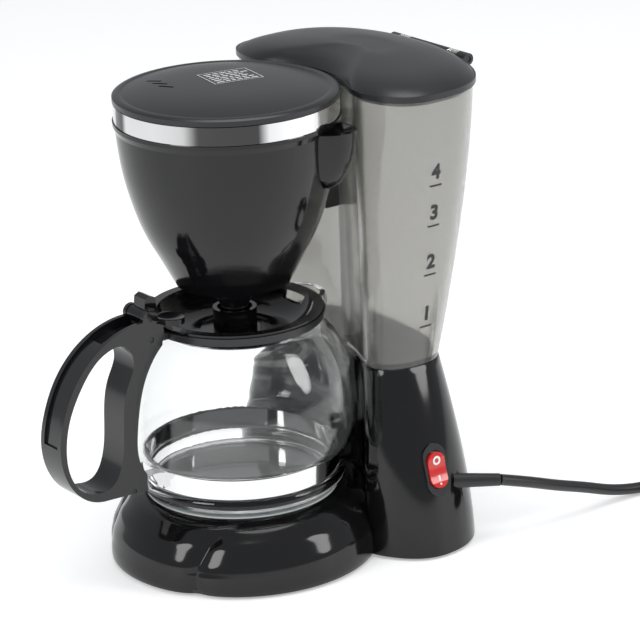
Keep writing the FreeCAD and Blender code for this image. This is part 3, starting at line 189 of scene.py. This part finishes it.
# %% [markdown]
# ## Node groups
# Moulded plastic is never perfectly even. One group makes a fine grain or orange-peel normal, another a mask of
# dust and soft wear. They are built once and placed in each material with its own numbers.


# %% Group helpers
def new_group(name, inputs, outputs):
    """Shader node group with named sockets; returns the group and its two end nodes."""
    group = bpy.data.node_groups.new(name, "ShaderNodeTree")
    for label, kind, value in inputs:
        socket = group.interface.new_socket(label, in_out="INPUT", socket_type=kind)
        if value is not None:
            socket.default_value = value
    for label, kind in outputs:
        group.interface.new_socket(label, in_out="OUTPUT", socket_type=kind)
    return group, group.nodes.new("NodeGroupInput"), group.nodes.new("NodeGroupOutput")


def surface_grain():
    """Normal from fine noise on Object coordinates: scale per metre, and height in metres."""
    group, start, end = new_group(
        "surface_grain",
        [("Scale", "NodeSocketFloat", 900.0), ("Height", "NodeSocketFloat", 0.00002)],
        [("Normal", "NodeSocketVector")])
    place = group.nodes.new("ShaderNodeTexCoord")
    noise = group.nodes.new("ShaderNodeTexNoise")
    noise.inputs["Detail"].default_value = 3.0
    bump = group.nodes.new("ShaderNodeBump")
    bump.inputs["Strength"].default_value = 1.0
    link = group.links.new
    link(place.outputs["Object"], noise.inputs["Vector"])
    link(start.outputs["Scale"], noise.inputs["Scale"])
    link(noise.outputs["Fac"], bump.inputs["Height"])
    link(start.outputs["Height"], bump.inputs["Distance"])
    link(bump.outputs["Normal"], end.inputs["Normal"])
    return group


def handling_marks():
    """Two values that drift over the surface: a cloudy mask, and sparse specks of dust, each from 0 to 1."""
    group, start, end = new_group(
        "handling_marks",
        [("Cloud Scale", "NodeSocketFloat", 18.0), ("Speck Scale", "NodeSocketFloat", 420.0)],
        [("Cloud", "NodeSocketFloat"), ("Specks", "NodeSocketFloat")])
    place = group.nodes.new("ShaderNodeTexCoord")
    cloud = group.nodes.new("ShaderNodeTexNoise")
    cloud.inputs["Detail"].default_value = 4.0
    speck = group.nodes.new("ShaderNodeTexVoronoi")
    spot = group.nodes.new("ShaderNodeMapRange")
    spot.inputs["From Min"].default_value = 0.0
    spot.inputs["From Max"].default_value = 0.11
    spot.inputs["To Min"].default_value = 1.0
    spot.inputs["To Max"].default_value = 0.0
    link = group.links.new
    link(place.outputs["Object"], cloud.inputs["Vector"])
    link(place.outputs["Object"], speck.inputs["Vector"])
    link(start.outputs["Cloud Scale"], cloud.inputs["Scale"])
    link(start.outputs["Speck Scale"], speck.inputs["Scale"])
    link(speck.outputs["Distance"], spot.inputs["Value"])
    link(cloud.outputs["Fac"], end.inputs["Cloud"])
    link(spot.outputs["Result"], end.inputs["Specks"])
    return group


GRAIN = surface_grain()
MARKS = handling_marks()
print("groups:", [g.name for g in bpy.data.node_groups])


# %% [markdown]
# ## Finishes
# Each finish starts from one function: a base colour that the marks lighten a little, a roughness that drifts
# with the cloud mask, and the grain as the normal. Numbers that are the same all over stay on the shader itself.

# %% Finish builder
def finish(name, colour, rough, grain=(900.0, 0.00001), dust=0.03, drift=0.06, **plain):
    """Principled material; colour and roughness vary with the marks, other sockets are set as constants."""
    material = bpy.data.materials.new(name)
    material.use_nodes = True
    tree = material.node_tree
    shader = tree.nodes["Principled BSDF"]
    marks = tree.nodes.new("ShaderNodeGroup")
    marks.node_tree = MARKS
    bumps = tree.nodes.new("ShaderNodeGroup")
    bumps.node_tree = GRAIN
    bumps.inputs["Scale"].default_value = grain[0]
    bumps.inputs["Height"].default_value = grain[1]
    tint = tree.nodes.new("ShaderNodeMix")
    tint.data_type = "RGBA"
    tint.inputs[6].default_value = (*colour, 1)
    tint.inputs[7].default_value = (*[min(c + dust, 1) for c in colour], 1)
    shade = tree.nodes.new("ShaderNodeMapRange")
    shade.inputs["To Min"].default_value = max(rough - drift, 0.0)
    shade.inputs["To Max"].default_value = rough + drift
    link = tree.links.new
    link(marks.outputs["Specks"], tint.inputs[0])
    link(tint.outputs[2], shader.inputs["Base Color"])
    link(marks.outputs["Cloud"], shade.inputs["Value"])
    link(shade.outputs["Result"], shader.inputs["Roughness"])
    link(bumps.outputs["Normal"], shader.inputs["Normal"])
    for socket, value in plain.items():
        shader.inputs[socket.replace("_", " ")].default_value = value
    return material


# %% [markdown]
# The black mouldings come in three finishes: a polished one on the base, column and bowl, a satin one on the
# lids, and one between the two on the handle.

# %% Plastics
FINISHES = {
    "black_gloss": finish("polished_black", (0.004, 0.004, 0.0045), 0.09, (260.0, 0.00001), 0.01, 0.03,
                          Specular_IOR_Level=0.42),
    "black_satin": finish("satin_black", (0.010, 0.0105, 0.0125), 0.3, (1500.0, 0.00002), 0.01, 0.05),
    "handle_grey": finish("charcoal_handle", (0.008, 0.008, 0.009), 0.15, (1100.0, 0.00001), 0.01, 0.04),
    "white_plastic": finish("natural_nylon", (0.70, 0.69, 0.64), 0.4, (900.0, 0.00003), 0.05, 0.05,
                            Subsurface_Weight=0.1),
    "red_plastic": finish("red_rocker", (0.62, 0.012, 0.010), 0.2, (700.0, 0.00001), 0.03, 0.04,
                          Subsurface_Weight=0.15, Coat_Weight=0.4),
    "rubber": finish("foot_rubber", (0.02, 0.02, 0.02), 0.7, (1200.0, 0.00006), 0.05, 0.08),
    "cord_black": finish("cord_sheath", (0.012, 0.012, 0.013), 0.38, (1400.0, 0.00002), 0.02, 0.05),
    "silicone": finish("silicone", (0.62, 0.61, 0.58), 0.45, (800.0, 0.00002), 0.05, 0.05,
                       Subsurface_Weight=0.2),
}
print("plastics:", sorted(FINISHES))

# %% [markdown]
# Metals keep Metallic at 1 and differ in roughness: mirror-like trim, drawn aluminium, plain steel. The warming
# plate is steel under a dark non-stick coating, so it is a speckled dielectric.

# %% Metals
FINISHES["chrome"] = finish("polished_trim", (0.80, 0.80, 0.80), 0.07, (600.0, 0.000004), 0.05, 0.03, Metallic=1.0)
FINISHES["steel"] = finish("plain_steel", (0.56, 0.56, 0.57), 0.3, (1200.0, 0.00001), 0.05, 0.08, Metallic=1.0)
FINISHES["aluminium"] = finish("drawn_aluminium", (0.72, 0.72, 0.73), 0.35, (900.0, 0.00001), 0.05, 0.08,
                               Metallic=1.0)
FINISHES["plate_coating"] = finish("plate_coating", (0.022, 0.022, 0.023), 0.4, (1600.0, 0.00004), 0.08, 0.06)
FINISHES["filter_mesh"] = finish("filter_mesh", (0.50, 0.36, 0.14), 0.35, (2500.0, 0.00015), 0.1, 0.08, Metallic=0.8)
print("metals:", len(FINISHES))

# %% [markdown]
# Two see-through finishes. The jug is clear glass, whose edges go green where the light travels far inside it.
# The tank is smoky plastic: its colour comes from the base colour of a transmitting shader.

# %% Glass and smoky plastic
FINISHES["glass"] = finish("jug_glass", (0.985, 0.993, 0.988), 0.012, (60.0, 0.00004), 0.0, 0.01,
                           Transmission_Weight=1.0, IOR=1.47)
FINISHES["smoky_clear"] = finish("smoky_tank", (0.62, 0.615, 0.59), 0.12, (500.0, 0.00001), 0.0, 0.03,
                                 Transmission_Weight=0.9, IOR=1.46)
slot_of = {row["node"]: row["material_slot"] for row in frame["record"]["subparts"]}
for name, piece in nodes.items():
    piece.data.materials.clear()
    piece.data.materials.append(FINISHES[slot_of[name]])
cord_curve.materials.append(FINISHES["cord_black"])
print("dressed", len(nodes), "CAD pieces")

# %% [markdown]
# The bright band round the basket has light and dark areas painted into its base colour by a ramp over the turn
# about the bowl's axis. They stand in for the reflections of a room that isn't modelled, so they stay with the
# band as it swings, and they don't change with the light or with the direction of view.


# %% Trim band
def turn_about(name, stops):
    """Value that depends on the turn about the Z axis through the jug: stops are (degrees from +X, value)."""
    group, start, end = new_group(name, [], [("Value", "NodeSocketFloat")])
    place = group.nodes.new("ShaderNodeTexCoord")
    shift = group.nodes.new("ShaderNodeVectorMath")
    shift.inputs[1].default_value = (0, -AXIS.y, 0)
    part = group.nodes.new("ShaderNodeSeparateXYZ")
    turn = group.nodes.new("ShaderNodeMath")
    turn.operation = "ARCTAN2"
    spread = group.nodes.new("ShaderNodeMapRange")
    spread.inputs["From Min"].default_value = -math.pi
    spread.inputs["From Max"].default_value = math.pi
    ramp = group.nodes.new("ShaderNodeValToRGB")
    link = group.links.new
    link(place.outputs["Object"], shift.inputs[0])
    link(shift.outputs[0], part.inputs[0])
    link(part.outputs["Y"], turn.inputs[0])
    link(part.outputs["X"], turn.inputs[1])
    link(turn.outputs[0], spread.inputs["Value"])
    link(spread.outputs["Result"], ramp.inputs[0])
    link(ramp.outputs["Color"], end.inputs["Value"])
    while len(ramp.color_ramp.elements) < len(stops):
        ramp.color_ramp.elements.new(1.0)
    for element, (degrees, value) in zip(ramp.color_ramp.elements, stops):
        element.position = (degrees + 180) / 360
        element.color = (value, value, value, 1)
    return group


ROOM = turn_about("room_bands", [(-180, 0.6), (-111, 0.7), (-109, 0.05), (-100, 0.05), (-96, 0.72), (-75, 0.62),
                                 (-57, 0.42), (-50, 0.06), (-19.5, 0.06), (-14, 0.7), (12, 0.8), (30, 0.35),
                                 (90, 0.6), (180, 0.6)])
band_finish = finish("mirror_band", (0.8, 0.8, 0.8), 0.09, (600.0, 0.000004), 0.05, 0.03, Metallic=1.0)
room = band_finish.node_tree.nodes.new("ShaderNodeGroup")
room.node_tree = ROOM
band_shader = band_finish.node_tree.nodes["Principled BSDF"]
band_finish.node_tree.links.new(room.outputs["Value"], band_shader.inputs["Base Color"])
nodes["basket_trim_ring"].data.materials[0] = band_finish
for name in ("handle_pins", "carafe_lid_pin"):
    nodes[name].data.materials[0] = FINISHES["black_satin"]

# %% [markdown]
# ## Base and column
# On the real machine one moulding sweeps from a round foot into a flared column. The foot isn't a plain ring:
# two creases run back from its front edge and part it into three soft petals. A crease is a fold in the surface,
# so it is easiest as a formula: a ring of profiles whose points sink towards the axis near the fold.


# %% Ring of profiles
def smooth_piece(name, points, faces, material, slot, body, sharp):
    """Smooth-shaded object with hard edges over an angle in degrees; with no slot it is only a working shape."""
    mesh = bpy.data.meshes.new(name)
    mesh.from_pydata(points.reshape(-1, 3).tolist(), [], faces)
    mesh.polygons.foreach_set("use_smooth", np.ones(len(mesh.polygons), bool))
    mesh.set_sharp_from_angle(angle=math.radians(sharp))
    mesh.materials.append(material)
    piece = bpy.data.objects.new(name, mesh)
    bpy.context.scene.collection.objects.link(piece)
    if slot:
        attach(piece, body)
    return piece


def ring_of_profiles(name, rings, material, slot, body, sharp=35):
    """Closed surface from an array (around, along, 3): both directions wrap, as on a torus."""
    n, m = rings.shape[:2]
    i, j = np.meshgrid(np.arange(n), np.arange(m), indexing="ij")
    a, b = i * m + j, (i + 1) % n * m + j
    quads = np.stack([a, b, (i + 1) % n * m + (j + 1) % m, i * m + (j + 1) % m], -1).reshape(-1, 4)
    return smooth_piece(name, rings, quads.tolist(), material, slot, body, sharp)


def along_polyline(corners, count):
    """count points evenly spaced by length along straight runs between corners."""
    corners = np.array(corners, float)
    at = np.concatenate([[0], np.cumsum(np.linalg.norm(np.diff(corners, axis=0), axis=1))])
    s = np.linspace(0, at[-1], count)
    return np.stack([np.interp(s, at, corners[:, k]) for k in range(corners.shape[1])], 1)


def rounded(corners, count, passes=3):
    """A polyline softened by averaging each point with its neighbours, ends kept."""
    line = along_polyline(corners, count)
    for _ in range(passes):
        line[1:-1] = (line[:-2] + 2 * line[1:-1] + line[2:]) / 4
    return line


# %% Petal foot
WALL = 2.2
plate_low, plate_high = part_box("hot_plate")
PLATE_R = (plate_high.x - plate_low.x) / 2 / MM
BASE_R = 71.0
BASE_TOP = plate_high.z / MM - 1.8
CREASE = 3.0   # deepest sink of a fold, in mm


def petal_foot(around=900, along=44):
    """Revolved profile about the jug's axis; points sink by up to CREASE mm where |x| is near the fold line."""
    outer = rounded([(BASE_R - 0.8, 1.5), (BASE_R, 2.6), (BASE_R, 8.5), (BASE_R - 1.5, 16.5), (BASE_R - 6, 26),
                     (BASE_R - 13, 33), (BASE_R - 20, BASE_TOP), (PLATE_R + 2, BASE_TOP)], along)
    inner = along_polyline([(PLATE_R + 2, BASE_TOP - 1.8), (BASE_R - 16, 32), (BASE_R - 9, 25),
                            (BASE_R - WALL - 1.6, 16), (BASE_R - WALL - 0.6, 3), (BASE_R - WALL - 0.8, 1.5)], 14)
    profile = np.vstack([outer, inner])
    turn = np.linspace(0, 2 * np.pi, around, endpoint=False)[:, None]
    x, y = profile[:, 0] * np.cos(turn), profile[:, 0] * np.sin(turn)
    z = np.broadcast_to(profile[:, 1], x.shape)
    fold = 38.5 + 0.19 * (y + 60)
    off = np.abs(np.abs(x) - fold)
    front = np.clip((-y - 12) / 22, 0, 1)
    height = np.clip((BASE_TOP + 1.5 - z) / 9, 0, 1)
    sink = CREASE * np.exp(-off / 5.0) * front * front * (3 - 2 * front) * height
    shrink = 1 - sink / np.hypot(x, y)
    return np.stack([x * shrink, y * shrink, z - 0.35 * sink * (z > 12)], -1) * MM + np.array([0, AXIS.y, 0])


foot = ring_of_profiles("petal_foot", petal_foot(), FINISHES["black_gloss"], "black_gloss", "machine")
print("petal foot:", len(foot.data.polygons), "faces")

# %% [markdown]
# The column's plan is a kidney: a squarish oval with a round bite where the jug and the basket stand. The oval is
# a superellipse, and the bite is a smooth maximum of two distances from the jug's axis. The flare is a power of
# the height, so one formula gives every level.


# %% Kidney column
def kidney(angle, half, centre, front, rear, square, bite):
    """Points of the plan at given angles: superellipse radius, then (d^14 + bite^14)^(1/14) from the axis."""
    c, s = np.cos(angle), np.sin(angle)
    power = np.where(s > 0, 2.2, square)
    depth = np.where(s > 0, rear - centre, centre - front)
    r = ((np.abs(c) / half) ** power + (np.abs(s) / depth) ** power) ** (-1 / power)
    x, y = r * c, centre + r * s
    away = np.hypot(x, y)
    push = (away ** 14 + bite ** 14) ** (1 / 14) / away
    return x * push, y * push


def kidney_level(z, inset, count=360):
    """The column's outline at height z in mm, moved inwards along its normal."""
    t = np.clip(z / 98.0, 0, 1) ** 1.5
    sizes = (82.5 + (57.0 - 82.5) * t, 70.0 + 7.0 * t, 32.0 + 16.0 * t, 120.0 - 13.5 * t, 2.2 + t, 64.0)
    angle = 2 * np.pi * (np.arange(count) + 0.5) / count
    x, y = kidney(angle, *sizes)
    dx, dy = np.roll(x, -1) - np.roll(x, 1), np.roll(y, -1) - np.roll(y, 1)
    size = np.hypot(dx, dy)
    return np.stack([x - inset * dy / size, y + inset * dx / size, np.full(count, float(z))], 1)


def column_shell():
    """Levels up the outside, a small round at the rim, and down the inside, as one wrapped ring."""
    up = [(z, 0.0) for z in np.linspace(1.5, 97.4, 34)] + [(97.85, 0.25), (98.0, 0.7)]
    down = [(98.0, WALL)] + [(z, WALL) for z in np.linspace(90, 1.5, 10)]
    levels = np.stack([kidney_level(z, inset) for z, inset in up + down], 1)
    return levels * MM + np.array([0, AXIS.y, 0])


column = ring_of_profiles("column", column_shell(), FINISHES["black_gloss"], None, None)
rocker_low, rocker_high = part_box("switch_rocker")


def oval_prism(width, height, depth, lean, centre):
    """Upright slot outline pushed along X, leaned about Y, placed at a centre."""
    a = np.linspace(-math.pi / 2, math.pi / 2, 25)
    r, straight = width / 2, height / 2 - width / 2
    top = np.stack([r * np.sin(a), straight + r * np.cos(a)], 1)
    loop = np.vstack([top, -top])
    n = len(loop)
    near = np.hstack([np.full((n, 1), -depth / 2), loop])
    both = np.vstack([near, near + [depth, 0, 0]])
    spin = np.array(Matrix.Rotation(lean, 3, "Y"))
    verts = both @ spin.T + np.array(centre)
    sides = [(i, (i + 1) % n, n + (i + 1) % n, n + i) for i in range(n)]
    return verts, sides + [tuple(range(n))[::-1], tuple(range(n, 2 * n))]


# %% Cut the switch opening
centre = ((rocker_low.x + rocker_high.x) / 2, (rocker_low.y + rocker_high.y) / 2, (rocker_low.z + rocker_high.z) / 2)
verts, faces = oval_prism(15 * MM, 28 * MM, 26 * MM, math.radians(-15), centre)
tool_mesh = bpy.data.meshes.new("switch_tool")
tool_mesh.from_pydata(verts.tolist(), [], faces)
tool = bpy.data.objects.new("switch_tool", tool_mesh)
bpy.context.scene.collection.objects.link(tool)
cut = column.modifiers.new("opening", "BOOLEAN")
cut.object = tool
cut.solver = "EXACT"
bpy.context.view_layer.update()
cut_mesh = bpy.data.meshes.new_from_object(column.evaluated_get(bpy.context.evaluated_depsgraph_get()))
column.modifiers.clear()
column.data = cut_mesh
bpy.data.objects.remove(tool)
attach(column, "machine")
print("column:", len(cut_mesh.polygons), "faces after the cut")

# %% [markdown]
# Between the foot and the column a low shelf closes the gap. It is a strip with rounded long edges, bent to
# follow the ring round the plate.


# %% Shelf
def shelf_ring(around=60):
    """Arc-shaped block: a small rounded section swept through the rear half turn between two radii."""
    section = rounded([(49.5, 4), (49.5, 33), (50.5, 34.3), (63.5, 34.3), (65, 33), (65, 4), (49.5, 4)], 40, 1)[:-1]
    a = np.radians(np.linspace(43, 137, around))[:, None]
    x, y = section[:, 0] * np.cos(a), section[:, 0] * np.sin(a)
    return np.stack([x, y, np.broadcast_to(section[:, 1], x.shape)], -1) * MM + np.array([0, AXIS.y, 0])


def capped_sweep(name, rings, material, slot, body, sharp=35):
    """Tube of sections that is closed by a face at each end."""
    n, m = rings.shape[:2]
    i, j = np.meshgrid(np.arange(n - 1), np.arange(m), indexing="ij")
    a = i * m + j
    quads = np.stack([a, a + m, (i + 1) * m + (j + 1) % m, i * m + (j + 1) % m], -1).reshape(-1, 4)
    caps = [tuple(range(m)), tuple(range((n - 1) * m, n * m))[::-1]]
    return smooth_piece(name, rings, quads.tolist() + caps, material, slot, body, sharp)


shelf = capped_sweep("shelf", shelf_ring(), FINISHES["black_gloss"], "black_gloss", "machine")
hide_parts("base_housing")
print("shelf:", len(shelf.data.polygons), "faces")

# %% [markdown]
# ## Printed scale
# The cup numbers are thin ink on the tank's side. Flat letters are made a mesh, and every vertex is dropped on
# the tank along -X, so the ink follows the taper; a hair's breadth of offset keeps it proud.


# %% Ink on a surface
ink = finish("printed_ink", (0.015, 0.015, 0.015), 0.5, (900.0, 0.00001), 0.02, 0.04)


def surface_of(name):
    """Ray-castable copy of a CAD node."""
    mesh = nodes[name].data
    co = np.empty(len(mesh.vertices) * 3, np.float32)
    mesh.vertices.foreach_get("co", co)
    return BVHTree.FromPolygons([Vector(v) for v in co.reshape(-1, 3)], [tuple(p.vertices) for p in mesh.polygons])


def lay_on(tree, coords, origin, across, up, along, lift):
    """Drops flat (u, v) points onto a surface: origin + u*across + v*up, cast along a direction, then lifted."""
    out = []
    for u, v in coords:
        start = Vector(origin) + Vector(across) * float(u) + Vector(up) * float(v) - Vector(along) * 0.05
        hit, normal, _, _ = tree.ray_cast(start, Vector(along))
        out.append(hit + normal * lift if hit else start + Vector(along) * 0.05)
    return out


def add_piece(name, verts, faces, material, body):
    """New mesh object at the origin that rides on a body."""
    mesh = bpy.data.meshes.new(name)
    mesh.from_pydata([tuple(v) for v in verts], [], [tuple(f) for f in faces])
    mesh.materials.append(material)
    piece = bpy.data.objects.new(name, mesh)
    bpy.context.scene.collection.objects.link(piece)
    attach(piece, body)
    return piece


def flat_letter(text, size):
    """Triangles of one character, centred, as (u, v) points in metres."""
    curve = bpy.data.curves.new("letter", "FONT")
    curve.body = text
    curve.size = size
    curve.align_x = "CENTER"
    curve.align_y = "CENTER"
    curve.resolution_u = 6
    curve.offset = 0.045 * size
    holder = bpy.data.objects.new("letter", curve)
    mesh = bpy.data.meshes.new_from_object(holder)
    co = np.array([v.co[:2] for v in mesh.vertices])
    faces = [tuple(p.vertices) for p in mesh.polygons]
    bpy.data.objects.remove(holder)
    return co, faces


def bar(width, height, steps=8):
    """Flat strip of quads, width by height, centred."""
    u = np.linspace(-width / 2, width / 2, steps + 1)
    co = np.array([(x, s * height / 2) for x in u for s in (-1, 1)])
    faces = [(2 * i, 2 * i + 2, 2 * i + 3, 2 * i + 1) for i in range(steps)]
    return co, faces


# %% Cup numbers and ticks
tank = surface_of("water_tank")
INK_LIFT = 0.12 * MM
for number, z in ((4, 204.8), (3, 183.0), (2, 156.0), (1, 127.0)):
    spot = (high.x + 0.02, AXIS.y + 76 * MM, z * MM)
    for kind, (co, faces) in (("number", flat_letter(str(number), 10.5 * MM)), ("tick", bar(7.5 * MM, 1.0 * MM))):
        drop = 0 if kind == "number" else -7.0 * MM
        verts = lay_on(tank, co, (spot[0], spot[1], spot[2] + drop), (0, 1, 0), (0, 0, 1), (-1, 0, 0), INK_LIFT)
        add_piece(f"scale_{kind}_{number}", verts, faces, ink, "machine")
print("cup scale: 4 numbers and 4 ticks")

# %% [markdown]
# A small printed panel sits on the basket's lid: a thin outline round rows of short bars. The panel is drawn flat
# and dropped straight down on the dome.


# %% Lid panel
def strips(rows):
    """Flat quads from (u0, u1, v0, v1) rows, each cut in short steps so that it can follow a curved surface."""
    co, faces = [], []
    for u0, u1, v0, v1 in rows:
        n = max(int((u1 - u0) / (1.5 * MM)), 1)
        m = max(int((v1 - v0) / (1.5 * MM)), 1)
        base = len(co)
        co += [(u0 + (u1 - u0) * i / n, v0 + (v1 - v0) * j / m) for i in range(n + 1) for j in range(m + 1)]
        faces += [(base + i * (m + 1) + j, base + (i + 1) * (m + 1) + j, base + (i + 1) * (m + 1) + j + 1,
                   base + i * (m + 1) + j + 1) for i in range(n) for j in range(m)]
    return co, faces


PANEL_W, PANEL_H, LINE = 27 * MM, 22 * MM, 0.5 * MM
w, h = PANEL_W / 2, PANEL_H / 2
panel = [(-w, w, h - LINE, h), (-w, w, -h, LINE - h), (-w, LINE - w, -h, h), (w - LINE, w, -h, h)]
noise = np.random.default_rng(4)
for row in range(6):
    v = h - (2.6 + 3.2 * row) * MM
    u = -w + 2.2 * MM
    while u < w - 5 * MM:
        run = noise.uniform(1.6, 4.2) * MM
        panel.append((u, min(u + run, w - 2 * MM), v - 1.5 * MM, v))
        u += run + 0.8 * MM
co, faces = strips(panel)
panel_ink = finish("panel_ink", (0.62, 0.62, 0.64), 0.5, (900.0, 0.00001), 0.02, 0.04)
turned = math.radians(80)
across, up = (math.cos(turned), math.sin(turned), 0), (-math.sin(turned), math.cos(turned), 0)
spot = (-4.8 * MM, AXIS.y + 6.6 * MM, LID_TOP + 0.01)
verts = lay_on(surface_of("basket_lid"), co, spot, across, up, (0, 0, -1), 0.12 * MM)
add_piece("lid_panel", verts, faces, panel_ink, "basket_lid")
print("lid panel:", len(faces), "faces")

# %% Switch marks
rocker = surface_of("switch_rocker")
white_ink = finish("white_ink", (0.8, 0.8, 0.78), 0.5, (900.0, 0.00001), 0.02, 0.04)
r_low, r_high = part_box("switch_rocker")
middle = (r_low + r_high) / 2
for mark, rise in (("O", 5.0), ("I", -5.0)):
    co, faces = flat_letter(mark, 6.0 * MM)
    verts = lay_on(rocker, co, (r_high.x, middle.y, middle.z + rise * MM), (0, 1, 0), (0, 0, 1), (-1, 0, 0), INK_LIFT)
    add_piece("mark_" + ("on" if mark == "I" else "off"), verts, faces, white_ink, "rocker")
print("switch marks at z", round(middle.z, 4))

# %% Finish
bpy.context.view_layer.update()
